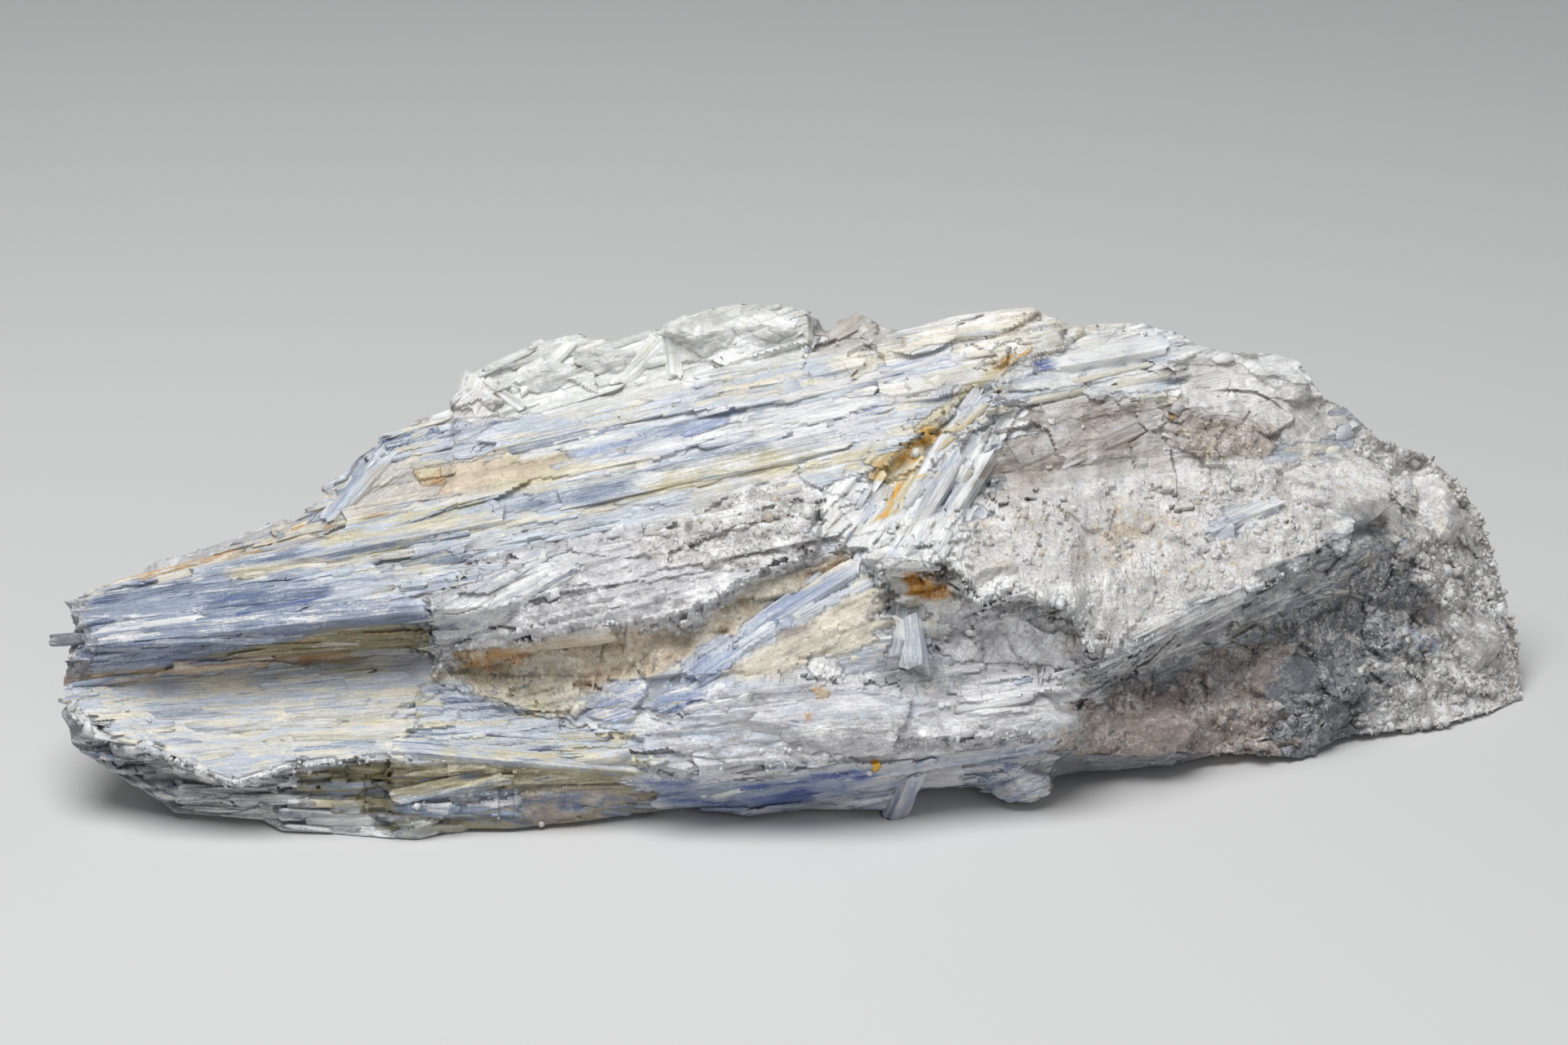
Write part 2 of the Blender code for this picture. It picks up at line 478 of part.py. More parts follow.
def skin_depth(rings, places, across, up):
    """How near the front of the skin is at a seen place: that of its closest point."""
    seen = to_seen(rings[:, places < SEEN_STRIPS].reshape(-1, 3))
    return seen[np.argmin((seen[:, 0] - across) ** 2 + (seen[:, 1] - up) ** 2), 2]


def front_crystals(rings, places):
    """The flat-sided crystals and the lumps of the front, each sunk into the skin where it lies."""
    _, up, toward = eye_axes()
    made = []
    for name, (start, end, width, thickness, proud, roll) in CRYSTALS.items():
        ends = []
        for across, height in (start, end):
            near = skin_depth(rings, places, across, height) + proud - 0.5 * thickness
            ends.append(from_seen((across, height, near)))
        made.append(prism(name, *ends, toward + CRYSTAL_UPWARD_LEAN * up, width, thickness, roll))
    for name, (centre, half_width, half_height, half_depth) in LUMPS.items():
        near = skin_depth(rings, places, *centre) - LUMP_SINK * half_depth
        made.append(lump(name, from_seen((*centre, near)), half_width, half_height, half_depth))
    return made


def kyanite_material():
    """Pale blue-grey kyanite with a pearly cleavage."""
    material = bpy.data.materials.new("kyanite")
    material.use_nodes = True
    shader = material.node_tree.nodes["Principled BSDF"]
    shader.inputs["Base Color"].default_value = KYANITE_COLOUR
    shader.inputs["Roughness"].default_value = KYANITE_ROUGHNESS
    shader.inputs["Metallic"].default_value = 0.0
    return material


def base_cutter():
    """A slab whose top is the flat face that the specimen lies on."""
    bpy.ops.mesh.primitive_cube_add(size=1.0)
    cutter = bpy.context.object
    cutter.name = "base_cutter"
    cutter.scale = [side * MM for side in BASE_SLAB]
    cutter.location.z = -BASE_SLAB[2] * MM / 2
    cutter.hide_render = True
    cutter.display_type = "WIRE"
    return cutter


def main():
    for obj in list(bpy.data.objects):
        bpy.data.objects.remove(obj, do_unlink=True)
    rings, places = skin()
    body = mass(rings)
    broken = body.modifiers.new("broken facets", "DECIMATE")
    broken.ratio = KEPT_FACES
    grown = bpy.data.collections.new("grown_on")
    bpy.context.scene.collection.children.link(grown)
    for piece in front_crystals(rings, places):
        bpy.context.scene.collection.objects.unlink(piece)
        grown.objects.link(piece)
        piece.hide_render = True
        piece.display_type = "WIRE"
    union = body.modifiers.new("grown together", "BOOLEAN")
    union.operation = "UNION"
    union.solver = "EXACT"
    union.operand_type = "COLLECTION"
    union.collection = grown
    flat = body.modifiers.new("flat face below", "BOOLEAN")
    flat.operation = "DIFFERENCE"
    flat.solver = "EXACT"
    flat.object = base_cutter()
    body.data.materials.append(kyanite_material())


main()
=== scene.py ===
"""The looks of the kyanite specimen: a broken mass of bladed kyanite grown through granular quartz.

A point on the front is given as the camera sees it: (across, up, near) in millimetres, where across and up
lie on a picture plane through the foot of the specimen and near is how far the point stands in front of that
plane. The mass is the skin stretched over twelve lines along the specimen. It is dressed with single
crystals, lumps, thin blades, quartz grains and mica flakes. Every point carries three colours and the
direction of the grain there, and one material draws the streaks, the grains and the bump from them.
"""

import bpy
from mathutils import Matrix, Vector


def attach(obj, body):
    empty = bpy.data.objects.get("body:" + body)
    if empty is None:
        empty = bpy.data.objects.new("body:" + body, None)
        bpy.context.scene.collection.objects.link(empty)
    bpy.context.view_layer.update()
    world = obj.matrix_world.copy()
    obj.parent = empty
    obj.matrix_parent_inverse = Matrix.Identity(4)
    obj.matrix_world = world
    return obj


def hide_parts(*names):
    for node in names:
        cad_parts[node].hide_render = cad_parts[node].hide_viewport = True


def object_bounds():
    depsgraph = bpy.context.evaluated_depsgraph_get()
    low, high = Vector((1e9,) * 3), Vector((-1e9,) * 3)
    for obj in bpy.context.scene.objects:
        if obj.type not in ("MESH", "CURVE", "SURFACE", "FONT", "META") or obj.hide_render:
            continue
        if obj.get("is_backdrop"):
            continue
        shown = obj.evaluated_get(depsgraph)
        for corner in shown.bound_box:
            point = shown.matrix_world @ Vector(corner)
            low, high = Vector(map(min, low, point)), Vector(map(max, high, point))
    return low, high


bl_info = {
    "name": "Kyanite specimen",
    "version": (1, 0, 0),
    "blender": (4, 5, 0),
    "location": "3D View > Sidebar > Kyanite",
    "description": "Builds a kyanite specimen from numpy surfaces and one procedural material",
    "category": "Add Mesh",
}

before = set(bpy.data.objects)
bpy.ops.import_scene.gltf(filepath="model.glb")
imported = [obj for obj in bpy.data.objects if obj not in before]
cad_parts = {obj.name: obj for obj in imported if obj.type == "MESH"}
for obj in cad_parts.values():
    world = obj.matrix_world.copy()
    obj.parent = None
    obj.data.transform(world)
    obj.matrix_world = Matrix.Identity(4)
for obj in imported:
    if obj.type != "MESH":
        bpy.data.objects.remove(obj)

import functools
import math

import bpy
import numpy as np
from mathutils import Matrix, Vector

MM = 0.001
NODE = "kyanite_specimen"
CAD_LOW, CAD_HIGH = (np.array(corner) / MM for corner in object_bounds())

# The camera's stand: how far from the picture plane, how high it looks down, and where it looks
EYE_DISTANCE = 560.0
EYE_RISE = math.radians(22.0)
EYE_HEIGHT_ON_PLANE = 42.8
PLANE_CENTRE = np.array((-3.95, -22.5, 39.7))
BENCH_SHIFT = np.array((-3.95, -38.5, 0.0))
PICTURE_WIDTH = 1920 / 9.0
SENSOR = 36.0

# Seen lines, from the foot up to the skyline, each from the left end to the right end
FOOT = (
    (-97.4, 13, -3), (-92.4, 9.2, -3), (-87.4, 6.2, -3), (-82.9, 3.3, -4), (-71.1, 2.4, -3),
    (-68.3, 0.9, -1), (-62.2, 0.6, -1), (-54.4, 0, 0.5), (-50, -0.3, 1), (-44.4, 1.2, -1), (-37, 1.2, -1),
    (-26.3, 2.3, -3), (-19.3, 3.4, -5), (-12.3, 4.1, -6), (-4.7, 2.9, -4), (3, 3.8, -6), (13.7, 3.7, -5),
    (18.2, 6.7, -8), (25.9, 6.9, -10), (32, 4.8, -9), (37.3, 8.3, -12), (52.6, 9.9, -18), (59.8, 11.6, -20),
    (70.4, 10.8, -22), (76.3, 13.9, -27), (88.7, 15.2, -31), (96.3, 17.2, -37), (100.2, 19.2, -42),
)
LOWER_EDGE = (
    (-98.1, 17.4, 0), (-94, 13.7, 2), (-87, 12, 4), (-82, 10.1, 4.5), (-74.4, 7.2, 5), (-68.3, 9.2, 5),
    (-54.1, 10.7, 4), (-37.8, 11.1, 3), (-22.2, 10.6, 3), (-11.1, 8.9, 4), (4.4, 8.9, 4), (15.6, 11.1, 3.5),
    (26.7, 11.7, 1), (36.7, 13.9, -2), (42.2, 15, -8), (54.4, 16.1, -17), (71.1, 17.8, -20),
    (77.8, 20.6, -25), (84.4, 19.4, -30), (93.3, 20.6, -37), (100.4, 19.9, -42),
)
GROOVE = (
    (-98.6, 21, -2.5), (-91, 21, -6), (-84.4, 21.4, -8), (-62.2, 24.3, -8), (-51.1, 25.9, -8),
    (-46.1, 25, -5), (-35.6, 19.4, -2), (-21.1, 18.3, 1), (-6.7, 19.4, 5), (4.4, 20.6, 4), (15.6, 22.8, 1),
    (21.1, 26.1, -3), (27.8, 26.7, -3), (37.8, 26.1, -2), (42.2, 21.1, -7), (48.9, 22.8, -14),
    (54.4, 25, -19), (62.2, 27.2, -22), (71.1, 29.4, -26), (77.8, 30.6, -29), (83.3, 31.7, -32),
    (88.9, 30, -37), (95.6, 24.7, -41), (100.3, 20.8, -43),
)
LIP = (
    (-95.1, 26.1, -2), (-85.6, 26.3, 0), (-73.3, 27.4, 0), (-62.2, 29.2, 0), (-48.7, 31.1, 0.5),
    (-44.4, 31.1, 2), (-34.4, 32.2, 2), (-23.3, 31.1, 1), (-12.2, 33.9, 0), (10, 37.2, 0.5),
    (18.9, 36.1, 1), (26.7, 31.9, 1), (33.3, 33.3, 0), (38.9, 31.1, 0), (41.7, 25, -1), (46.7, 25.2, -6),
    (51.7, 28.6, -9), (57.8, 31.4, -12), (67.3, 34.8, -16), (73.3, 37.2, -20), (77.8, 38.4, -24),
    (83.3, 37.6, -30), (88.9, 35.4, -35), (95.6, 28.7, -41), (100.3, 21.9, -43.5),
)
SHOULDER = (
    (-96.4, 28.9, -4), (-73.3, 32.2, -3), (-62.2, 33.9, -3), (-53.3, 36.1, -4), (-44.4, 37.2, -2),
    (-34.4, 38.3, -1), (-23.3, 39.4, -3), (-12.2, 41.7, -4), (7.8, 47.2, -6), (15.6, 46.1, -5),
    (22.2, 47.2, -6), (27.8, 49.4, -11), (37.8, 50, -15), (51.1, 51.7, -20), (60, 51.7, -22),
    (66.7, 51.1, -24), (73.3, 48.3, -27), (77.8, 45.6, -30), (83.3, 44.4, -36), (88.9, 41, -40),
    (95.6, 31.9, -43.5), (100.2, 22.7, -44),
)
UPPER = (
    (-96.7, 30.8, -7), (-84.4, 33.3, -7), (-73.3, 36.1, -8), (-62.2, 38.3, -9), (-53.3, 42.8, -11),
    (-44.4, 48.3, -11), (-34.4, 51.7, -12), (-23.3, 55, -13), (-12.2, 57.2, -14), (-1.1, 59.4, -14),
    (10, 61.7, -15), (21.1, 62.8, -16), (30, 58.3, -15), (37.8, 58.3, -18), (48.9, 59.4, -21),
    (60, 59.4, -26), (66.7, 59.4, -30), (73.3, 55, -34), (80, 50.2, -38), (86.7, 46.6, -42), (92, 41, -44),
    (96.3, 33.6, -45), (100, 23.4, -45),
)
SKYLINE = (
    (-96.7, 32.3, -10), (-93.3, 33.7, -11), (-80, 37.6, -12), (-73.3, 40.1, -13), (-66.7, 42.8, -15),
    (-63.9, 44.8, -15), (-61.1, 48.3, -15), (-57.8, 51.7, -16), (-54.4, 54.1, -17), (-50, 56.8, -17),
    (-45.6, 57.8, -18), (-44.8, 60.3, -18), (-40, 64.2, -19), (-33.3, 67.1, -21), (-30, 68.2, -22),
    (-23.3, 67.4, -22), (-17.8, 68.6, -22), (-13.3, 70.3, -21), (-10, 71.9, -21), (-6.1, 72.6, -21),
    (0.6, 72.1, -22), (3.3, 71, -22), (4.1, 68.4, -23), (6, 68.2, -23), (7.1, 69.8, -24), (10, 71.4, -24),
    (12.8, 69.6, -24), (15.6, 68.7, -23), (23.3, 70.9, -22), (30, 71.8, -22), (33.6, 72.1, -23),
    (36.9, 70.4, -24), (40, 69.4, -26), (43.3, 69.9, -28), (48.9, 69.9, -29), (53.3, 68.4, -30),
    (57.2, 66.7, -32), (60, 66, -34), (66.7, 65.8, -36), (70, 64.8, -37), (71.4, 62.6, -37),
    (73.3, 59.8, -37), (76.7, 58.3, -38), (81.1, 53.9, -40), (87, 52.2, -44), (91, 49, -45),
    (94.3, 44.6, -46), (97.1, 36.1, -46), (100.2, 24.3, -46),
)

# Hidden lines, down the back and under the base: (x, y, z) on the bench, before BENCH_SHIFT
BACK_CREST = (
    (-97, 27, 22), (-68, 36, 29), (-45, 47, 43), (-10, 54, 53), (31, 57, 50), (64, 64, 42), (86, 65, 31),
    (96, 65, 20), (103, 61, 12), (107.5, 54.5, 4.5),
)
BACK_SHOULDER = (
    (-97, 34, 19), (-66, 52, 24), (-40, 63, 32), (-5, 71, 37), (35, 73, 35), (66, 76, 29), (88, 73, 20),
    (97, 70, 13), (104, 65, 7), (107.6, 55.5, 3),
)
BACK_FOOT = (
    (-96, 36, 13), (-64, 56, 7), (-38, 66, 3), (-5, 72, 2), (35, 73, 1), (66, 74, 1), (88, 71, 1),
    (104, 63, 1), (107.6, 55, 1.5),
)
BASE_BACK = (
    (-95, 30, 10), (-64, 45, 2), (-52, 50, -1), (-5, 62, -1), (35, 63, -1), (66, 64, -1), (85, 60, -1),
    (100, 55, -1), (107.4, 51.5, -1),
)
BASE_FRONT = (
    (-95, 18, 10), (-68, 14, 2), (-54, 8, -1), (-15, 14, -1), (5, 14, -1), (35, 22, -1), (66, 31, -1),
    (85, 41, -1), (100, 47, -1), (107.3, 49, -1),
)

# The twelve lines round the specimen, with the crown in millimetres between each and the next
STRIPS = (
    (FOOT, 0.3), (LOWER_EDGE, 0.6), (GROOVE, 0.3), (LIP, 0.5), (SHOULDER, 0.8), (UPPER, 1.0), (SKYLINE, 0.8),
    (BACK_CREST, 2.5), (BACK_SHOULDER, 2.0), (BACK_FOOT, 0.0), (BASE_BACK, 0.0), (BASE_FRONT, 0.0),
)
SEEN_STRIPS = 7
ROUND = len(STRIPS)
END_TRIM = 0.003
BASE_FROM = 9.2
CAP_RINGS = (0.12, 0.45)
END_RINGS = tuple(0.03 + 0.94 * k / 15 for k in range(16))
END_BREAK = (((3.0, 5.0, 2.6), 1.3), ((1.4, 2.2, 1.2), 0.6), ((0.7, 0.9, 0.6), 0.25))
END_GRANULAR = 0.6
CAP_BULGE = 0.6

# The parts of the mass: where each starts and ends round the specimen, counted in strips, where it starts and
# ends along it, as shares of the length, and its stations; and the columns in each of the twelve strips
PARTS = {
    "left_front": (-0.7, 7.2, 0.0, 0.34, 290), "middle_front": (-0.7, 7.2, 0.34, 0.67, 290),
    "right_front": (-0.7, 7.2, 0.67, 1.0, 290), "back": (6.8, 11.9, 0.0, 1.0, 400),
}
COLUMNS = (32, 46, 34, 40, 48, 48, 36, 44, 44, 36, 20, 20)
SIDES = {"front": ("left_front", "middle_front", "right_front"), "back": ("back",)}
CHORD_COLUMNS = 4
CHORD_INSET = 6.0
CUT_DENT = 3.0

# Relief of the skin in millimetres: the same coarse blades and grains as the solid, and finer ones of their
# own
BLADE_CELL = (17.0, 3.4, 6.0)
BLADE_RELIEF = 1.1
GRAIN_CELL = (5.5, 5.5, 5.5)
GRAIN_RELIEF = 1.5
BACK_LEDGE_CELL = (46.0, 13.0, 18.0)
BACK_LEDGE_RELIEF = 2.4
BACK_CELL = (17.0, 4.6, 6.0)
BACK_RELIEF = 1.5
UPPER_GRAIN = math.radians(14.0)
LOWER_GRAIN = math.radians(3.0)
BACK_GRAIN = math.radians(-5.0)
BACK_LOOK = np.array((0.0, 0.85, 0.52))
RELIEF_SEED = 7
END_FADE = 9.0
GRAIN_BORDER = 63.4
GRAIN_BORDER_LEAN = 0.9
GRAIN_BORDER_SOFT = 8.0
GRAIN_TOP = 60.0
GRAIN_TOP_SOFT = 6.0
LOWER_GRAIN_TOP = 30.0
LOWER_GRAIN_SOFT = 6.0
FINE_BLADES = (((26.0, 1.9, 4.0), 0.34), ((9.0, 0.8, 2.0), 0.24), ((3.6, 0.42, 1.0), 0.13))
FINE_GRAINS = (((3.0, 3.0, 3.0), 0.75), ((1.3, 1.3, 1.3), 0.42), ((0.6, 0.6, 0.6), 0.14))

# Share of the fine relief that is left at the ends and at the base
FINE_AT_ENDS = 0.4
FINE_AT_BASE = 0.25

# Side of a cell of the raster on which small crystals stand
RASTER_CELL = 0.5

# Ledges of the layers, as (height of a layer, how far its lower edge stands out), and how calm the fine
# relief is
LEDGES = {
    "slab": (6.0, 0.08), "slab_band": (4.0, 0.1), "slab_ochre": (5.0, 0.08), "slab_right": (2.4, 0.35),
    "groove_wall": (2.6, 0.25), "groove_earth": (2.2, 0.25), "groove_bottom": (2.0, 0.15),
    "lip_strip": (4.0, 0.1), "highlit_white_edge": (1.6, 0.5),
    "steps": (1.9, 1.35), "lower_layers": (2.2, 0.9), "olive_layers": (1.6, 0.7), "upper_block": (3.0, 0.35),
    "ledges": (2.1, 1.1), "boulder": (3.6, 0.3), "striated_white": (1.8, 0.5), "ledge_band": (1.5, 0.9),
    "diagonal": (1.9, 0.35), "fan": (2.4, 0.5), "upper_right": (2.4, 0.35), "broken_block": (3.2, 0.8),
}
PLAIN_LEDGE = (2.8, 0.3)
CALM = {

    "slab": 0.14, "slab_band": 0.3, "slab_ochre": 0.14, "slab_right": 0.5, "groove_wall": 0.6, "groove_earth": 0.6,
    "lip_strip": 0.5, "window": 0.5, "glassy": 0.5, "plateau": 0.6, "plateau_pink": 0.6, "valley": 0.8,
    "beige": 0.7, "blue_face_1": 0.3, "blue_face_2": 0.3, "broken_block": 1.35, "highlit_white_edge": 1.5,
    "right_end": 1.2, "steps": 1.3, "ledges": 1.3, "ledge_band": 1.5, "window_glass": 0.6, "top_lumps": 0.8,
    "olive_streaks": 0.7,
}
LEDGE_WANDER = 1.4
LEDGE_WANDER_CELL = (24.0, 6.0, 9.0)

# Raised (+) and sunk (-) areas of the front: (lift, softness of the edge, outline of seen points)
STEPS = {
    "layers_under_slab": (-1.8, 0.6, (
        (-95, 16), (-87, 11.2), (-74.5, 7.2), (-54, 10.2), (-54, 0), (-75, 0), (-98, 8))),
    "broken_block": (2.6, 0.5, (
        (-48.6, 32), (-40, 38), (-25, 41), (5, 46.5), (4, 39), (-6, 35), (-13, 30), (-29, 28), (-40, 25.5),
        (-47.5, 22))),
    "ochre_hollow": (-2.2, 1.0, (
        (-44, 22.5), (-37, 26), (-22, 28), (-12, 29), (-2, 36), (10, 38.5), (9.5, 35.5), (-2, 29),
        (-13, 24.5),
        (-34, 19))),
    "boulder_face": (1.6, 0.8, (
        (-20, 13.5), (-12, 18.5), (0, 22), (14, 21), (27, 19.5), (38, 21), (41, 19), (36, 13.5), (21, 13.2),
        (4, 10.5), (-10, 9), (-18, 9))),
    "iron_pocket": (-5.0, 0.8, (
        (13.5, 36), (17, 37), (22.5, 36.3), (25, 33), (25.5, 27), (20, 26), (15, 28))),
    "under_ledge": (-3.0, 0.8, (
        (26, 30.5), (33, 32.5), (40, 29.5), (42, 24), (36, 22), (27, 23.5))),
    "granite_ledge": (2.2, 0.7, (
        (11, 37.5), (13.3, 35), (18.5, 36.6), (23, 36.8), (26, 31.4), (33.5, 33.2), (38.3, 31), (41.5, 25),
        (48, 24.4), (53, 30), (66, 34.4), (74, 39), (68, 43), (50, 45), (30, 46), (16, 43))),
    "brown_valley": (-2.0, 1.5, (
        (28, 58), (38, 60), (53, 59.5), (53, 51), (38, 47), (28, 46))),
    "dark_hollow": (-1.6, 1.2, (
        (44, 21.5), (60, 30), (74, 38), (83, 39), (84, 30), (76, 19), (50, 18))),
    "rust_fissure": (-2.0, 0.5, (
        (11.5, 45.5), (12, 49), (22, 57), (31, 66.5), (29.5, 61), (23, 53), (15.5, 46))),
    "end_hollow": (-2.5, 1.0, (
        (83, 38), (87, 39), (88, 30), (84, 27))),
}

# Smaller steps of the looks alone, laid over the ones above, and how jagged the edge of every step is
FINE_STEPS = {
    "slab_undercut": (-1.5, 0.3, (
        (-97, 17.2), (-93.8, 13.5), (-91.1, 12.1), (-87, 11.6), (-82, 9.7), (-78.3, 7.8), (-74.7, 6.9),
        (-71.1, 7.3), (-68.6, 9.2), (-61.3, 9.9), (-54.1, 10.3), (-54.1, 8.2), (-61.3, 7.6), (-68.6, 6.4),
        (-74.7, 4.2), (-82, 6.6), (-87, 9), (-93.8, 11), (-98, 14))),
    "slab_break": (-0.7, 0.2, (
        (-51.6, 17.2), (-50.6, 15), (-51.4, 12.6), (-50.8, 10.6), (-20, 8.4), (-19, 13.2), (-29, 15.4),
        (-40, 18.6), (-46, 20.6))),
    "ledge_rim": (1.0, 0.25, (
        (12.2, 37.2), (13.3, 35), (15.3, 36.2), (20.2, 36.6), (22.8, 37), (26, 31.6), (29.8, 33.8),
        (33.4, 32.3),
        (34.6, 31), (38.6, 32.6), (41.4, 26), (43.5, 26.5), (40, 34), (34, 34), (30, 35.6), (26.8, 34.2),
        (23.6, 38.6), (15, 38.2))),
    "pocket_floor": (3.2, 1.0, ((13.5, 35.4), (17, 36), (22.5, 35.4), (25, 32.4), (25.5, 27), (20, 26),
    (15, 28))),
    "under_ledge_floor": (1.9, 1.0, ((26, 30), (33, 31), (40, 28.4), (41.4, 24), (36, 22), (27, 23.5))),
    "hollow_floor": (1.1, 1.0, ((-42, 22.5), (-22, 28), (-2, 35), (9, 38), (-2, 30), (-13, 25), (-34, 20))),
    "fissure_floor": (1.4, 0.8, ((21.5, 55.5), (31, 66.5), (30, 60.4), (23, 52.6))),
    "end_pit_1": (-2.2, 0.6, ((85.6, 30.6), (88.4, 31.4), (89.2, 28.6), (86.4, 27.6))),
    "end_pit_2": (-1.8, 0.6, ((84.8, 24.6), (87.4, 25.6), (88, 22.8), (85.8, 22))),
    "end_pit_3": (-1.6, 0.6, ((92.8, 33.8), (94.6, 34.2), (95.2, 31.4), (93.4, 30.8))),
    "end_pit_4": (-1.6, 0.6, ((78.6, 44.4), (81.2, 44.8), (82.4, 42.6), (80.2, 41.8))),
}
STEP_JAG = 0.9
STEP_JAG_CELL = (1.7, 1.3, 1.7)

# Flat-sided crystals on the front: (seen start, seen end, width, thickness, height above the skin, roll in
# degrees)
CRYSTALS = {
    "finger": ((-99.6, 26.7), (-88.0, 27.4), 1.9, 1.7, -0.2, 10),
    "lip_blade": ((-94.4, 26.1), (-48.6, 30.9), 2.4, 4.0, 0.9, 4),
    "block_blade_1": ((-96.2, 28.6), (-49.0, 34.0), 3.4, 5.0, 0.5, -8),
    "block_blade_2": ((-96.6, 30.6), (-62.0, 36.8), 3.2, 5.0, 0.2, 14),
    "block_blade_3": ((-80.0, 34.6), (-38.0, 42.6), 3.2, 4.6, 0.4, -14),
    "steep_blade": ((-61.6, 42.4), (-53.2, 51.8), 3.4, 4.0, 0.2, -20),
    "top_blade_1": ((-60.0, 42.0), (-14.0, 52.0), 5.4, 6.0, 0.3, 10),
    "top_blade_2": ((-40.0, 52.6), (10.0, 64.0), 5.6, 6.0, 0.2, -8),
    "top_blade_3": ((-30.0, 45.2), (8.0, 53.6), 4.4, 6.0, 0.4, 10),
    "summit_blade_1": ((13.0, 64.6), (33.0, 68.8), 5.0, 6.0, 0.2, 12),
    "summit_blade_2": ((16.0, 59.6), (51.0, 65.6), 4.4, 6.0, 0.2, -12),
    "summit_blade_3": ((34.0, 56.2), (59.0, 61.6), 4.4, 5.0, 0.2, 10),
    "broken_blade_1": ((-48.4, 29.2), (-12.0, 36.4), 6.2, 7.0, -0.7, 14),
    "broken_blade_2": ((-47.6, 25.6), (-24.0, 29.4), 5.0, 6.0, 0.4, -12),
    "broken_blade_3": ((-34.0, 35.4), (6.0, 44.6), 5.0, 6.0, -0.8, -10),
    "diagonal_blade": ((-13.8, 21.4), (10.4, 36.4), 3.4, 4.4, 0.5, -8),
    "fan_1": ((4.5, 37.0), (12.5, 49.0), 3.4, 4.0, 0.6, 10),
    "fan_2": ((11.4, 36.5), (18.6, 48.4), 3.0, 4.0, 0.5, -12),
    "fan_3": ((16.0, 38.5), (23.6, 51.6), 2.8, 4.0, 0.4, 15),
    "fan_4": ((20.5, 39.5), (27.6, 51.6), 3.0, 4.0, 0.2, -10),
    "shelf": ((16.3, 29.6), (17.0, 22.6), 5.6, 5.0, 1.2, 5),
    "plate": ((57.0, 41.0), (67.0, 45.2), 3.2, 3.4, 0.8, -10),
    "pointed_crystal": ((17.5, 9.0), (14.6, 2.0), 3.2, 3.0, -0.4, 20),
    "layer_1": ((-91.0, 11.2), (-44.0, 8.6), 2.6, 7.0, 1.0, 8),
    "layer_2": ((-86.6, 8.4), (-37.6, 6.2), 2.4, 7.0, 0.7, -6),
    "layer_3": ((-82.0, 5.6), (-44.0, 3.6), 2.2, 6.0, 0.8, 6),
    "layer_4": ((-68.0, 2.6), (-33.0, 3.4), 2.4, 6.0, 0.5, -6),
    "layer_5": ((-53.0, 11.4), (-17.0, 8.2), 3.0, 5.0, 0.7, -8),
    "splinter": ((-53.0, 5.2), (-38.0, 8.4), 2.8, 4.0, 1.2, 15),
    "ledge_1": ((-17.6, 5.4), (24.0, 8.8), 3.0, 5.0, 0.9, 8),
    "ledge_2": ((-12.0, 9.4), (37.0, 14.0), 3.4, 5.0, 0.7, -8),
    "right_ledge": ((42.0, 24.0), (62.0, 33.6), 2.4, 3.6, 0.3, -10),
    "valley_blade": ((37.5, 50.4), (51.0, 56.6), 3.2, 4.4, 0.4, 10),
    "ridge_prism": ((-14.6, 62.6), (-15.4, 69.0), 2.6, 3.0, 0.6, 0),
    "ridge_slab": ((-22.5, 61.2), (-16.4, 67.6), 4.0, 3.0, 0.5, 10),
    "glassy_block": ((-43.0, 57.6), (-41.6, 62.4), 4.6, 4.0, 0.4, 0),
    "glassy_bar": ((-40.6, 62.0), (-35.6, 58.0), 1.6, 2.0, 0.6, 0),
    "ridge_plate_1": ((-36.0, 60.5), (-29.0, 66.8), 3.6, 3.0, 0.4, -10),
    "ridge_plate_2": ((-30.0, 61.5), (-22.6, 64.6), 3.0, 3.0, 0.5, 12),
    "ridge_plate_3": ((-9.0, 64.0), (2.0, 68.6), 4.4, 4.0, 0.4, -8),
    "ridge_plate_4": ((-12.0, 61.8), (2.6, 64.4), 3.0, 3.0, 0.4, 10),
}
CRYSTAL_SECTION = ((-0.5, 0.1), (-0.32, 0.5), (0.36, 0.42), (0.5, -0.05), (0.3, -0.5), (-0.38, -0.46))
CRYSTAL_UPWARD_LEAN = 0.6
CRYSTAL_RINGS = 56
CRYSTAL_ROUND = 24
CRYSTAL_SEED = 300

# Broken edges with white chips: (chips to the millimetre, line of seen points), and the middle width of a
# chip
# The white of these chips is partly real splinters and partly painted highlight along the lit edges
EDGES = {
    "slab_lower": (4.5, (
        (-96.7, 19.4), (-93.6, 13.7), (-91.1, 12.4), (-87, 12), (-82, 10.1), (-78.3, 8.2), (-74.7, 7.2),
        (-71.1, 7.7), (-68.6, 9.7), (-61.3, 10.3), (-54.1, 10.7))),
    "plateau": (9.0, (
        (12.6, 35.7), (13.4, 34.6), (15.3, 36), (20.2, 36.3), (22.6, 36.8), (25.8, 31.2), (29.8, 33.6),
        (33.2, 32.1), (34.4, 30.8), (38.6, 32.4), (41.7, 24.7))),
    "right_ledge": (5.0, (
        (41.4, 22), (47.7, 24.4), (51.3, 28.6), (57.6, 31.4), (62.4, 33.1), (67.3, 34.8), (70.7, 36.3))),
    "block_break": (5.0, ((-48.3, 32.2), (-48, 27), (-48.4, 22.4))),
    "block_lower": (3.5, (
        (-46.1, 26.1), (-40, 25.5), (-28.9, 27.2), (-22.2, 28.3), (-12.2, 28.3), (-6.7, 33.9), (4, 38.5))),
    "boulder_lower": (2.0, ((-18, 8.9), (-8.9, 8.9), (4.4, 10.6), (21.1, 13.3), (36.7, 13.9))),
    "fan_base": (4.0, ((5.5, 40.5), (11.1, 37.2), (11.5, 36))),
    "white_fibres": (4.0, ((-52, 4.6), (-44, 5.6), (-36, 5.8))),
}
EDGE_CHIP = 0.5

# How far, in millimetres, the skin may stray from a thin blade that lies on it
BLADE_STRAIGHTNESS = 0.45

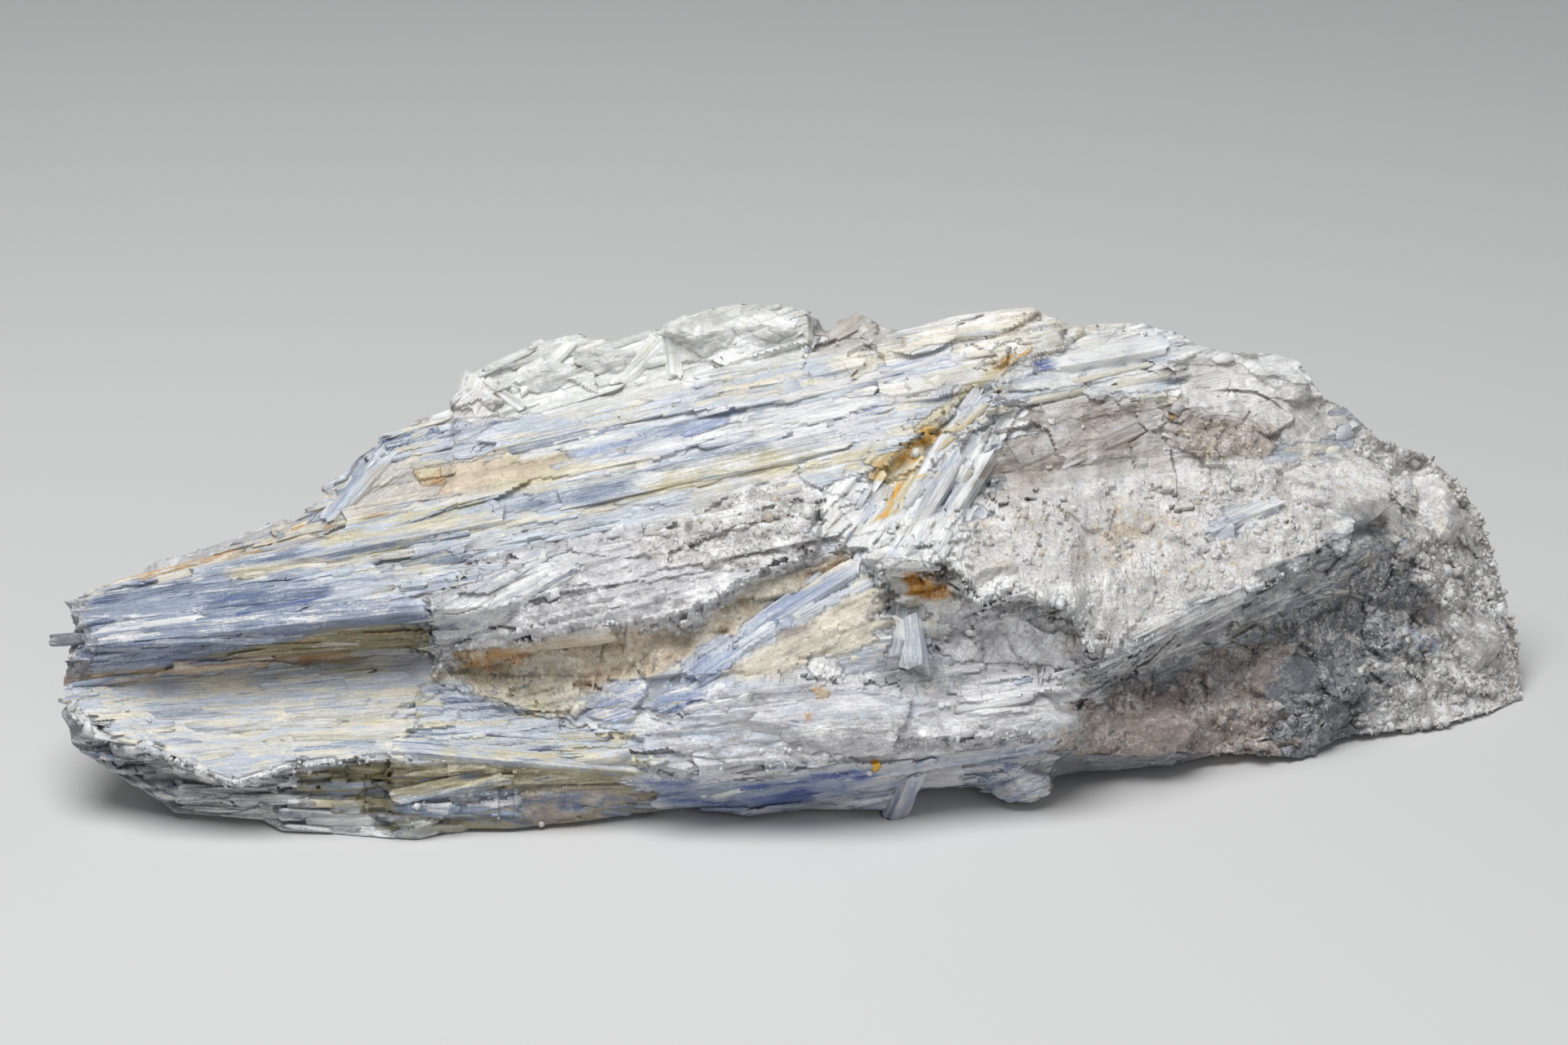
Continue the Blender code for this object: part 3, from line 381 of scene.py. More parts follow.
# Thin blades stand only where the first colour is no stronger than this
BLADE_CHROMA = 0.25

# Angular lumps on the front: (seen centre, half width, half height, half depth)
LUMPS = {
    "window_lump": ((-40.6, 59.0), 4.6, 3.2, 4.4),
    "ridge_lump_1": ((-33.0, 63.0), 5.4, 4.2, 5.0),
    "ridge_lump_2": ((-23.5, 64.4), 6.4, 3.8, 5.0),
    "ridge_lump_3": ((-11.6, 68.0), 6.6, 4.0, 5.4),
    "ridge_lump_4": ((-2.4, 68.8), 5.8, 3.6, 5.0),
    "far_knob": ((9.8, 68.0), 3.4, 3.8, 3.6),
    "far_white_lump": ((66.0, 61.6), 5.6, 3.6, 5.0),
    "boulder_1": ((5.0, 15.2), 16.0, 4.6, 5.4),
    "boulder_2": ((30.0, 17.4), 9.4, 4.8, 6.0),
    "foot_lump": ((31.6, 7.8), 4.8, 2.8, 3.6),
    "edge_lump_1": ((16.4, 37.6), 4.6, 2.4, 4.0),
    "edge_lump_2": ((27.6, 35.4), 5.6, 2.6, 5.0),
    "quartz_lump_1": ((49.5, 15.6), 7.4, 4.6, 5.0),
    "quartz_lump_2": ((66.0, 19.8), 7.4, 5.6, 5.2),
    "plateau_lump": ((72.0, 47.6), 9.6, 6.4, 6.0),
    "end_lump_1": ((86.0, 43.6), 6.4, 6.0, 6.0),
    "end_lump_2": ((91.0, 27.8), 6.0, 6.6, 5.6),
}
LUMP_SINK = 0.75
LUMP_RINGS = 40
LUMP_ROUND = 56
LUMP_PLANES = 10
LUMP_ROUGH = (((4.0, 2.2, 2.2), 0.36), ((1.6, 1.1, 1.1), 0.28), ((0.7, 0.5, 0.5), 0.16))

# What the eye finds in each area of the front: (grain's rise to the right in degrees, share of granular
# quartz, three colours, the shares of the second and the third, softness of the edge, outline of seen points)
ZONES = {
    "cream_crest": (10, 0.2, ("cream", "frost", "pale"), (0.45, 0.2), 2.0, (
        (4, 60), (8.9, 66.1), (22.2, 72), (35.6, 73), (48.9, 71), (50, 66.5), (31.1, 64), (15.6, 60))),
    "upper_block": (9, 0.0, ("steel", "frost", "slate"), (0.3, 0.36), 0.8, (
        (-96.4, 33), (-78.9, 38), (-64.4, 43.4), (-47.8, 42.8), (-44.4, 36.1), (-48.9, 30.8), (-94.2, 26.1),
        (-97.2, 28.3))),
    "block_right": (9, 0.0, ("pale", "cream", "steel"), (0.4, 0.36), 1.0, (
        (-66, 42.6), (-48, 42.6), (-44.4, 36.1), (-48.9, 32), (-60, 31.6), (-66, 35))),
    "block_glass": (12, 0.1, ("steel", "frost", "slate"), (0.36, 0.3), 0.5, (
        (-88.5, 31), (-84, 33.4), (-79, 33), (-76, 30.4), (-84, 28.6))),
    "block_streak": (8, 0.0, ("cream", "straw", "steel"), (0.4, 0.3), 0.5, (
        (-76, 36.2), (-62, 38.6), (-50, 40.2), (-50, 38.8), (-62, 36.9), (-75, 34.8))),
    "block_ridge": (15, 0.0, ("cream", "steel", "ochre"), (0.34, 0.24), 0.6, (
        (-96.4, 33.6), (-80, 39.5), (-64, 45), (-52, 44.5), (-44, 44), (-46, 41.6), (-62, 41), (-80, 36.2))),
    "block_rectangles": (9, 0.0, ("slate", "steel", "deep"), (0.3, 0.25), 0.5, (
        (-79, 33), (-62, 34.4), (-62, 31.6), (-79, 30.4))),
    "groove_wall": (5, 0.0, ("slate", "steel", "olive"), (0.4, 0.2), 0.5, (
        (-100, 25.6), (-94.2, 26.1), (-48.3, 30.3), (-48, 25), (-73.3, 22.6), (-100, 21))),
    "groove_earth": (5, 0.1, ("olive", "ochre", "cream"), (0.3, 0.22), 0.8, (
        (-80, 24.4), (-62, 28.2), (-48.4, 29), (-48.2, 24.6), (-64, 23.4))),
    "groove_bottom": (6, 0.0, ("ochre", "sand", "steel"), (0.4, 0.22), 0.5, (
        (-98, 20.6), (-98, 22), (-73, 23.8), (-56, 25.6), (-56, 24.6), (-74, 22.4))),
    "lip_strip": (5, 0.1, ("steel", "frost", "slate"), (0.3, 0.26), 0.35, (
        (-95.2, 26.2), (-94, 28), (-73, 30.2), (-60, 31.3), (-48.6, 32), (-48.4, 30.4), (-60, 29.2),
        (-73, 27.7), (-86, 26.2))),
    "slab": (4, 0.0, ("pale", "cream", "steel"), (0.52, 0.2), 0.8, (
        (-96.9, 20), (-84.4, 21.4), (-48.3, 25), (-44.4, 21.7), (-35.6, 17.4), (-28.9, 15.2), (-18.9, 13.3),
        (-20, 8.3), (-40, 10), (-54.4, 10.6), (-68.3, 9.4), (-74.4, 7), (-82, 10.1), (-91.1, 12.4),
        (-96.7, 17.4))),
    # Painted light: the tints are made lighter to offset the shadow that the lip casts into the crease
    "slab_band": (4, 0.0, ("pale", "cream", "slate"), (0.4, 0.22), 1.2, (
        (-97, 21), (-73.3, 22.3), (-48.3, 25), (-44.4, 22.6), (-57.8, 20), (-73.3, 18.6), (-90, 18.4))),
    "slab_ochre": (4, 0.0, ("cream", "pale", "straw"), (0.4, 0.28), 1.2, (
        (-80, 13.3), (-70, 15.4), (-52, 17.4), (-50, 15.1), (-70, 12.2), (-78.9, 12.2))),
    "slab_right": (2, 0.1, ("pale", "straw", "slate"), (0.36, 0.36), 1.0, (
        (-51.4, 17), (-46, 21), (-30, 15.4), (-19, 13), (-20, 9), (-36, 10.6), (-51, 10.8))),
    "steps": (-2, 0.0, ("ash", "frost", "slate"), (0.42, 0.2), 0.5, (
        (-99, 19.4), (-93.6, 13.7), (-87, 12), (-82, 10.1), (-74.7, 7), (-68.6, 9.4), (-54.4, 10.6),
        (-44.4, 10.1), (-44.4, -2), (-62.2, -2), (-84.4, 0), (-100, 8))),
    "steps_olive": (2, 0.0, ("olive", "steel", "straw"), (0.42, 0.26), 0.5, (
        (-66.1, 8.2), (-58.2, 9.8), (-51.4, 9.3), (-52.5, 4.8), (-59.3, 3.6), (-66.1, 4.8))),
    "lower_layers": (-4, 0.1, ("olive", "steel", "slate"), (0.34, 0.3), 0.6, (
        (-53.3, 10.6), (-40, 10), (-18.9, 8.1), (-11.1, 4.4), (-18.9, 1), (-44.4, -3), (-50, -3), (-49, 0.4),
        (-59, 1.2), (-51, 2.6), (-57, 4.2), (-62, 5.6), (-55, 6.8), (-60, 8.6))),
    "olive_layers": (3, 0.1, ("olive", "straw", "slate"), (0.36, 0.3), 0.6, (
        (-58, 9.9), (-40, 10.2), (-19, 8.6), (-16, 6), (-36, 6.4), (-52, 7.2), (-61, 7.6))),
    "lower_white_fibres": (-3, 0.0, ("steel", "frost", "slate"), (0.4, 0.26), 0.5, (
        (-52.2, 5.6), (-35.6, 6.7), (-35.6, 4.4), (-44.4, 2.2), (-52.2, 3.3))),
    "lower_brown": (0, 0.5, ("grey_brown", "slate", "dark"), (0.42, 0.3), 1.5, (
        (-35.6, 6.1), (-22.2, 6.7), (-18.9, 4.4), (-34.4, 1.4))),
    # The slab's jagged lower edge in near-white frost: partly real white splinters, partly painted highlight on
    # the lit edge
    "highlit_white_edge": (-6, 0.0, ("frost", "pale", "steel"), (0.3, 0.14), 0.35, (
        (-97, 19.7), (-93.4, 14.3), (-87, 12.7), (-82, 10.9), (-78.3, 9), (-74.5, 7.8), (-68.6, 10),
        (-61, 11), (-61, 10.2), (-68.3, 8.9), (-74.4, 6.4), (-82, 9.3), (-87, 11.4), (-91.1, 12), (-94.4, 14),
        (-97.6, 17.4))),
    "foot_glass": (30, 0.1, ("greenish", "steel", "straw"), (0.34, 0.24), 0.4, (
        (-53.1, 1.9), (-49.1, 2.5), (-45.4, 1.9), (-46.9, -0.6), (-51.4, -0.3))),
    "window": (30, 0.3, ("quartz", "cream", "brown"), (0.4, 0.12), 0.5, (
        (-59.4, 46.1), (-56.7, 50), (-51.1, 51.6), (-43.3, 51.7), (-35.6, 52.6), (-35.6, 49.4), (-51.1, 45.9),
        (-58.9, 43.6))),
    "sandy": (12, 0.5, ("sand", "straw", "cream"), (0.34, 0.26), 0.8, (
        (-48, 50.3), (-35.6, 52.6), (-26.7, 53.4), (-26, 51), (-34, 48), (-44.4, 46.4), (-48, 46.4))),
    "golden": (20, 0.2, ("ochre", "straw", "amber"), (0.34, 0.2), 0.5, (
        (-50.2, 49.9), (-46.6, 50.4), (-46.9, 48), (-49.8, 47.6))),
    "olive_streaks": (13, 0.0, ("cream", "pale", "olive"), (0.46, 0.16), 1.5, (
        (-44, 43.5), (-30, 46.6), (-14, 50), (2, 52), (2, 48), (-14, 45), (-30, 42), (-44, 40))),
    "glassy": (12, 0.0, ("pale", "frost", "teal"), (0.36, 0.3), 0.8, (
        (-44, 39.4), (-28.9, 43), (-17.8, 46.2), (-12, 48), (-12, 46), (-28.9, 39.6), (-42, 35.6))),
    "deep_streak": (15, 0.0, ("azure", "pale", "deep"), (0.4, 0.26), 0.5, (
        (-30, 52.2), (-22.2, 54), (-10, 57.4), (-4, 58.2), (-6, 57), (-12, 55.6), (-22.2, 52.8),
        (-28.9, 51.6))),
    "slate_upper": (14, 0.0, ("frost", "pale", "azure"), (0.4, 0.22), 1.0, (
        (-12, 58.4), (2, 60.4), (14, 60), (15, 54.4), (-2, 53), (-14, 52), (-24, 51.4), (-16, 55.4))),
    "sweep_straw_1": (13, 0.0, ("straw", "pale", "steel"), (0.46, 0.24), 0.6, (
        (-63.4, 41.2), (-47.8, 45), (-32.3, 47.7), (-19.2, 49.7), (-19.2, 48.2), (-32.3, 45.7), (-47.8, 42.7),
        (-63.4, 39.2))),
    "sweep_steel_1": (15, 0.0, ("steel", "pale", "slate"), (0.4, 0.3), 0.6, (
        (-40.3, 45.7), (-28.2, 47.7), (-14.2, 51.8), (-2.1, 53.8), (-2.1, 52.3), (-14.2, 49.2), (-26.2, 45.2),
        (-40.3, 43.7))),
    "sweep_straw_2": (13, 0.0, ("straw", "frost", "steel"), (0.5, 0.26), 0.6, (
        (-19.2, 49.7), (-2.1, 52.8), (11, 51.8), (11, 49.7), (-2.1, 49.7), (-19.2, 46.2))),
    "sweep_white": (13, 0.0, ("frost", "pale", "cream"), (0.4, 0.2), 0.6, (
        (-36.3, 52.5), (-19.2, 56.3), (0.9, 60.8), (11, 61.8), (6, 59.3), (-6.6, 58.3), (-19.2, 54.5),
        (-36.3, 51.3))),
    "sweep_blue": (15, 0.0, ("azure", "pale", "frost"), (0.46, 0.24), 0.5, (
        (-29.2, 52.3), (-19.2, 55), (-7.1, 58.5), (-6.1, 57.3), (-14.2, 54.8), (-20.2, 53.3), (-28.2, 51.3))),
    "summit_blue": (15, 0.0, ("frost", "pale", "azure"), (0.42, 0.24), 0.6, (
        (10, 63.1), (18, 66.3), (22.1, 67.4), (24.1, 63.8), (14, 61.8), (10, 61.8))),
    "sweep_left": (15, 0.0, ("pale", "cream", "slate"), (0.42, 0.26), 0.6, (
        (-53.4, 53.8), (-49.4, 56.3), (-36.3, 57.3), (-36.3, 56.3), (-45.3, 53.8), (-53.4, 51.8))),
    "top_lumps": (18, 0.25, ("frost", "greenish", "cream"), (0.5, 0.2), 1.0, (
        (-49, 58), (-45.8, 62), (-40, 66), (-31.1, 70), (-22.2, 70), (-11.1, 75), (4, 75), (4.4, 65),
        (-14.4, 61.2), (-26.7, 57.6), (-44.4, 56.4))),
    "window_glass": (40, 0.1, ("sugar", "frost", "quartz"), (0.35, 0.25), 0.6, (
        (-46, 61), (-40, 62), (-38.4, 57.4), (-45.6, 57))),
    "knob": (40, 0.3, ("quartz", "grey_brown", "greenish"), (0.4, 0.25), 0.5, (
        (4.6, 74), (16, 74), (16, 66.4), (5, 66))),
    "broken_block": (15, 0.5, ("lilac", "frost", "grey_brown"), (0.36, 0.24), 0.7, (
        (-48.7, 31.4), (-40, 37.2), (-28.9, 41.7), (-14.4, 42.8), (-1.1, 48.3), (4.4, 47.2), (4.7, 38.3),
        (-6.7, 33.9), (-12.2, 28.3), (-28.9, 27.2), (-40, 25), (-46.7, 21.4))),
    "block_frost": (28, 0.2, ("lilac", "frost", "steel"), (0.42, 0.32), 1.0, (
        (-48.7, 31.4), (-40, 36.8), (-30, 39.8), (-27, 36), (-34, 31.6), (-42, 27.6), (-47.4, 24))),
    "block_quartz": (15, 0.9, ("quartz", "frost", "sand"), (0.42, 0.16), 1.2, (
        (-20, 42), (-1.1, 48.3), (4.4, 47), (3, 40), (-8, 36), (-20, 38))),
    "ochre_valley": (20, 0.75, ("sand", "cream", "ochre"), (0.46, 0.2), 0.8, (
        (-44.9, 23.7), (-37.8, 26.3), (-22.2, 28.3), (-12.2, 27.8), (-6.7, 32.8), (4.4, 37.6), (11.1, 39.4),
        (11.3, 36.1), (-1.1, 31.4), (-12.2, 24.8), (-22.2, 19.2), (-34.4, 19.2), (-42.2, 20.6))),
    "speckled": (10, 0.6, ("cream", "straw", "slate"), (0.36, 0.3), 0.6, (
        (-46.7, 23.3), (-40, 24.1), (-28.9, 25), (-27.1, 18.3), (-28.9, 15.2), (-35.6, 17.2), (-44.4, 21.4))),
    "orange_clay": (10, 0.7, ("ochre", "sand", "rust"), (0.42, 0.14), 0.4, (
        (-44.6, 25.2), (-40, 25.8), (-35.4, 25.4), (-35, 23.4), (-40, 22.6), (-44, 22.8))),
    "deep_blue": (12, 0.35, ("pale", "frost", "straw"), (0.42, 0.16), 0.6, (
        (-27.6, 18.3), (-22.2, 20.8), (-12.2, 21.7), (-6.7, 21.4), (-6.1, 17.4), (-11.1, 13.9), (-18.9, 13.2),
        (-26.7, 15))),
    "blue_face_1": (15, 0.1, ("azure", "frost", "cream"), (0.46, 0.3), 0.35, (
        (-26.4, 17.4), (-23, 20.2), (-18.8, 21.2), (-19.2, 18.4), (-21.6, 15.6), (-24.6, 15.4))),
    "blue_face_2": (15, 0.1, ("azure", "frost", "cream"), (0.46, 0.3), 0.35, (
        (-17.8, 18.6), (-15.4, 21), (-9.4, 21.4), (-9.8, 19), (-12.6, 16.8), (-17.8, 16.6))),
    "beige": (25, 0.5, ("cream", "grey_brown", "sand"), (0.4, 0.26), 0.8, (
        (-7.8, 24.3), (4.4, 31.1), (12.2, 36.1), (13.6, 28.9), (10, 25), (4.4, 24), (0, 21.4), (-6.7, 21.4))),
    "diagonal": (34, 0.0, ("pale", "azure", "frost"), (0.34, 0.3), 0.4, (
        (-14.7, 21), (-12.2, 25), (0, 32.8), (10, 37.4), (11.6, 35.9), (4.4, 31), (-3.3, 25), (-11.1, 20.3))),
    # Partly real white crystals, partly painted light: the lightest tints offset the shade in the hollow
    "pocket": (30, 0.6, ("frost", "cream", "straw"), (0.4, 0.26), 0.6, (
        (13.6, 35.7), (18.9, 36.1), (22.8, 36.3), (24.6, 31.1), (22.6, 26.2), (14.4, 27.8))),
    "pocket_rust": (30, 0.6, ("amber", "rust", "ochre"), (0.42, 0.25), 0.5, (
        (16.4, 35.9), (20, 36.4), (22.4, 35.8), (22.8, 33.2), (20.4, 32), (17.4, 33))),
    "shelf": (80, 0.0, ("pale", "frost", "steel"), (0.4, 0.2), 0.4, (
        (13.9, 32.2), (18.9, 31.1), (20.6, 23), (15, 22.3))),
    "boulder": (6, 0.35, ("lilac", "pale", "frost"), (0.42, 0.26), 1.0, (
        (-20, 13.3), (-12.2, 18.3), (0, 21.7), (13.3, 22.6), (26.7, 19.4), (37.8, 21.7), (41.7, 19.4),
        (36.7, 13.9), (21.1, 13.3), (4.4, 10.6), (-8.9, 8.9), (-17.8, 8.9))),
    "boulder_blue": (8, 0.5, ("ash", "quartz", "slate"), (0.42, 0.22), 1.0, (
        (12, 24), (22, 24), (28, 20), (24, 18.6), (14, 20.6))),
    "white_patch": (60, 0.2, ("frost", "pale", "cream"), (0.2, 0.1), 0.4, (
        (3, 24.6), (7.6, 24.2), (7.4, 21.2), (3.4, 21.6))),
    "ledges": (9, 0.1, ("lilac", "steel", "slate"), (0.42, 0.24), 0.6, (
        (-18.9, 8.6), (-8.9, 8.9), (4.4, 10.6), (21.1, 13.3), (36.7, 13.9), (37.8, 11.1), (34, 2), (17.8, 0),
        (-6.7, 0), (-17.8, 1))),
    "ledge_blue": (9, 0.2, ("steel", "deep", "frost"), (0.4, 0.26), 0.5, (
        (-18.4, 8.1), (-9.3, 7), (2, 8.1), (13.3, 9.8), (12.7, 7.6), (2, 4.8), (-5.9, 3.6), (-17.2, 5.3))),
    "ledge_brown": (5, 0.6, ("lilac", "frost", "grey_brown"), (0.36, 0.26), 0.6, (
        (-2.5, 13.8), (13.3, 16.6), (30.2, 15.5), (29.1, 12.1), (13.3, 9.8), (2, 9.8))),
    "striated_white": (8, 0.1, ("lilac", "frost", "steel"), (0.42, 0.22), 0.8, (
        (24.4, 25), (41.1, 25), (41.7, 19.4), (36.7, 15.6), (25, 16.1))),
    "under_ledge": (60, 0.6, ("lilac", "frost", "steel"), (0.42, 0.2), 0.6, (
        (23.3, 31.1), (25.8, 31.2), (29.8, 33), (34.4, 30.8), (38.6, 32.2), (41.7, 24.7), (38, 23),
        (26.7, 23.4), (21.1, 24.8))),
    "upper_right": (12, 0.0, ("frost", "pale", "cream"), (0.3, 0.2), 1.2, (
        (30.6, 63.3), (37.8, 67.2), (48.9, 70.4), (60, 68), (71.1, 65), (71.1, 58.3), (57.8, 60.6),
        (46.7, 60.6), (29.4, 58.3))),
    "right_block": (25, 0.5, ("sugar", "frost", "pale"), (0.42, 0.22), 1.0, (
        (53, 64), (62, 64.4), (72, 61), (78, 56), (70, 53), (60, 57), (53, 60))),
    "valley": (12, 0.5, ("quartz", "grey_brown", "pale"), (0.4, 0.26), 1.0, (
        (27.2, 57.8), (37.8, 60.6), (53.3, 59.2), (53.9, 51.7), (37.8, 47.2), (28, 45.9))),
    "valley_earth": (10, 0.8, ("grey_brown", "sand", "quartz"), (0.34, 0.3), 0.8, (
        (53.3, 58.3), (66.7, 56.1), (66.7, 51.7), (54.4, 51.1))),
    "plateau": (15, 1.0, ("sugar", "frost", "sand"), (0.38, 0.22), 1.5, (
        (14.4, 44.4), (27.8, 46.1), (37.8, 47.2), (54.4, 51.1), (66.7, 51.7), (77.8, 50.6), (82.2, 47.2),
        (75.6, 42.8), (71.1, 37.2), (62.4, 33.1), (51.3, 28.6), (41.7, 23.7), (38.8, 28.7), (33.2, 32.1),
        (25.8, 31.2), (22.6, 36.8), (12.8, 36.1))),
    "plateau_pink": (15, 1.0, ("sugar", "sand", "frost"), (0.34, 0.26), 2.0, (
        (28, 44), (50, 47), (54, 42), (40, 36), (27, 38))),
    # The plateau's lower rim in frost white: partly real sugary quartz, partly painted highlight on the lit rim
    "ledge_rim": (15, 0.9, ("frost", "sugar", "lilac"), (0.3, 0.1), 0.5, (
        (12.2, 37.4), (13.3, 34.6), (15.3, 36), (20.2, 36.3), (22.6, 36.8), (25.8, 31), (29.8, 33.4),
        (33.2, 32), (34.4, 30.6), (38.6, 32.2), (41.7, 24.5), (44, 26), (41, 34.4), (34, 34.4), (30, 36.4),
        (27, 34.6), (23.6, 39), (15, 38.6))),
    "fan": (56, 0.0, ("frost", "pale", "cream"), (0.34, 0.2), 0.6, (
        (4.4, 47.2), (11.1, 49.4), (15.6, 45), (21.1, 51.7), (31.1, 59.4), (33.6, 58.3), (26.7, 47.2),
        (24.4, 38.3), (11.1, 37), (5.3, 40.1))),
    "fan_blue": (60, 0.0, ("frost", "pale", "azure"), (0.42, 0.24), 0.5, (
        (19, 43.7), (22.1, 52.3), (24.1, 53.8), (24.1, 51.8), (21.1, 43.7))),
    "plates": (20, 0.1, ("pale", "frost", "sugar"), (0.42, 0.26), 0.5, (
        (56.9, 42.8), (60, 44.8), (66.7, 45.9), (67.2, 43.9), (60, 40.8), (57.2, 40.3))),
    # Painted light: lighter tints offset the shadow that falls here
    "blue_patch": (15, 0.5, ("frost", "pale", "azure"), (0.42, 0.26), 0.8, (
        (74, 44.6), (82, 44.4), (82, 41.2), (75, 41.2))),
    "ledge_band": (22, 0.4, ("ash", "frost", "quartz"), (0.44, 0.28), 0.8, (
        (41.1, 23.7), (51.3, 29), (62.4, 34.4), (71.1, 39), (80, 43.4), (82.2, 40.6), (73.3, 33.9),
        (64.4, 28.9), (53.3, 23.9), (42.8, 19))),
    # Dark blue grey under the ledge: partly grey quartz, partly painted shade of the overhang
    "dark_recess": (30, 1.0, ("dark", "quartz", "ash"), (0.36, 0.3), 1.2, (
        (42.2, 20), (53.3, 23.4), (64.4, 28.2), (73.3, 33), (82.2, 39), (86.6, 36.1), (85.4, 25),
        (75.6, 17.8),
        (64.4, 18.3), (48.9, 17.2), (41.7, 17.2))),
    "pink_quartz": (0, 1.0, ("pink", "quartz", "dark"), (0.36, 0.2), 1.0, (
        (37.8, 16.1), (42.2, 19.4), (51.1, 20.6), (57.8, 26.1), (66.7, 27), (66.7, 18.3), (73.3, 16.1),
        (71.1, 8), (57.8, 8), (37.8, 8))),
    # Its dark blue grey is partly painted shade below the ledge
    "grey_lumps": (0, 1.0, ("dark", "ash", "quartz"), (0.36, 0.2), 1.0, (
        (66.7, 21.7), (76.7, 25), (82.2, 21.7), (81.1, 11), (71.1, 8), (66.7, 10))),
    "right_end": (40, 1.0, ("quartz", "frost", "lilac"), (0.42, 0.26), 1.5, (
        (76.7, 51.7), (80, 56), (94, 54), (100, 40), (104, 22), (102, 14), (93.3, 12), (80, 10), (78, 17.2),
        (84.4, 25), (86.1, 36.1), (82.2, 42.8))),
    "end_crown": (40, 0.9, ("sugar", "frost", "cream"), (0.42, 0.28), 1.5, (
        (76, 52), (80, 56), (92, 52), (96, 44), (90, 40), (84, 42), (78, 44))),
    "end_pits": (40, 1.0, ("quartz", "steel", "frost"), (0.4, 0.2), 0.8, (
        (85.4, 31), (89, 31.6), (89.6, 25), (86, 24.4))),
    "far_end_pink": (40, 1.0, ("sugar", "pink", "frost"), (0.2, 0.34), 1.0, (
        (96.5, 27), (104, 27), (104, 14), (96, 14))),
    # Darkened near the foot: its dark blue grey is partly painted shade
    "bottom_slab": (3, 0.1, ("dark", "ash", "brown"), (0.3, 0.2), 0.5, (
        (36.1, 11.6), (57.8, 11.2), (60, 6), (37.8, 6))),
    "far_white": (10, 0.3, ("frost", "pale", "cream"), (0.2, 0.1), 0.5, (
        (60, 67), (70, 66.4), (72.6, 61.1), (62.2, 63.3))),
    # The left end face and the finger are darkened with the dark blue grey: painted shade at the left end
    "end_grains": (0, 0.8, ("dark", "grey_brown", "ash"), (0.42, 0.3), 0.8, (
        (-98, 33), (-94.6, 32.8), (-94.8, 21.7), (-100.8, 21), (-101, 28.3))),
    "finger": (4, 0.0, ("dark", "steel", "ash"), (0.42, 0.2), 0.3, (
        (-101, 28.3), (-94.4, 28.1), (-93.3, 26.1), (-101, 25.6))),
    "steep_edge": (52, 0.0, ("pale", "steel", "frost"), (0.42, 0.24), 0.6, (
        (-64, 42.8), (-56, 53.6), (-53.3, 53.6), (-60, 43.2))),
    "rust": (46, 0.2, ("straw", "amber", "frost"), (0.5, 0.26), 0.5, (
        (11.4, 52.2), (12, 49.8), (13, 47), (15.6, 47.6), (18.8, 49.8), (20.8, 53), (23.6, 56.4),
        (22.6, 57.6),
        (19, 55.4), (15.4, 53))),
    "rust_upper": (44, 0.2, ("frost", "cream", "straw"), (0.46, 0.3), 0.6, (
        (22, 56), (26.5, 60.6), (31.8, 65.6), (32.6, 68), (30, 67), (24.5, 62), (20.6, 57.4))),
    "rust_line": (40, 0.1, ("straw", "amber", "cream"), (0.36, 0.26), 0.35, (
        (18, 55), (22, 57.5), (27.5, 61.5), (33, 65.7), (34.1, 67.1), (32.7, 66.9), (26.8, 62.8),
        (21.3, 58.5),
        (18, 56.4))),
    "rust_tail": (56, 0.2, ("straw", "amber", "frost"), (0.36, 0.24), 0.4, (
        (14, 48.4), (17.8, 49.2), (17.6, 47), (15.4, 44.4), (12.4, 42.4), (13.6, 45.6))),
    "round_spot": (0, 0.3, ("sand", "ochre", "cream"), (0.42, 0.2), 0.25, (
        (3.9, 20.3), (5, 20.8), (6.2, 19.9), (5.6, 18.6), (4.2, 18.8))),
    "small_spot": (0, 0.3, ("ochre", "rust", "sand"), (0.4, 0.2), 0.2, (
        (2.8, 16.7), (3.8, 16.8), (3.7, 15.8), (2.9, 15.9))),
    "yellow_spot": (0, 0.2, ("yellow", "yellow", "amber"), (0.3, 0.0), 0.15, (
        (12, 10.3), (12.7, 10.7), (13.1, 10.1), (13.4, 9.6), (13, 9), (12.2, 9), (12.2, 9.7))),
    "orange_spot": (0, 0.3, ("ochre", "sand", "amber"), (0.3, 0.2), 0.3, (
        (52.4, 57.8), (53.3, 58), (53.5, 57), (52.8, 56.6), (52.3, 57.1))),
    "blue_spot": (0, 0.3, ("steel", "deep", "frost"), (0.44, 0.3), 0.25, (
        (33.8, 64.8), (36.4, 65), (36.8, 63.6), (34, 63.2))),
    "white_glint": (0, 0.0, ("frost", "frost", "frost"), (0.1, 0.1), 0.15, (
        (37.2, 65.4), (38.6, 65.2), (38.4, 64), (37.4, 64.2))),
}
DEFAULT_ZONE = (13, 0.0, ("pale", "cream", "steel"), (0.42, 0.2))
BEHIND_LEAD = 0.95
BACK_PATCHES = (
    (-3, ("cream", "frost", "pale"), (0.4, 0.3), 0.1), (-8, ("frost", "pale", "ash"), (0.42, 0.26), 0.0),
    (4, ("pale", "cream", "steel"), (0.42, 0.26), 0.0), (-12, ("lilac", "quartz", "sand"), (0.4, 0.24), 0.6),
)
BACK_PATCH_CELL = (30.0, 8.0, 12.0)
BACK_GRAINS_FROM = 52.0
# How far raised places are mixed towards frost white: partly real frost, partly painted highlight
FROST_AND_HIGHLIGHT_SHARE = 0.6

# How far the edges of the zones finger along the grain, and wander across it
ZONE_FINGER = 9.0
ZONE_FINGER_CELL = (9.0, 1.1, 3.0)
ZONE_WANDER = 2.2
ZONE_WANDER_CELL = (5.0, 5.0, 5.0)
ZONE_FULL_WANDER = 9.0
ZONE_LEAST_WANDER = 0.09


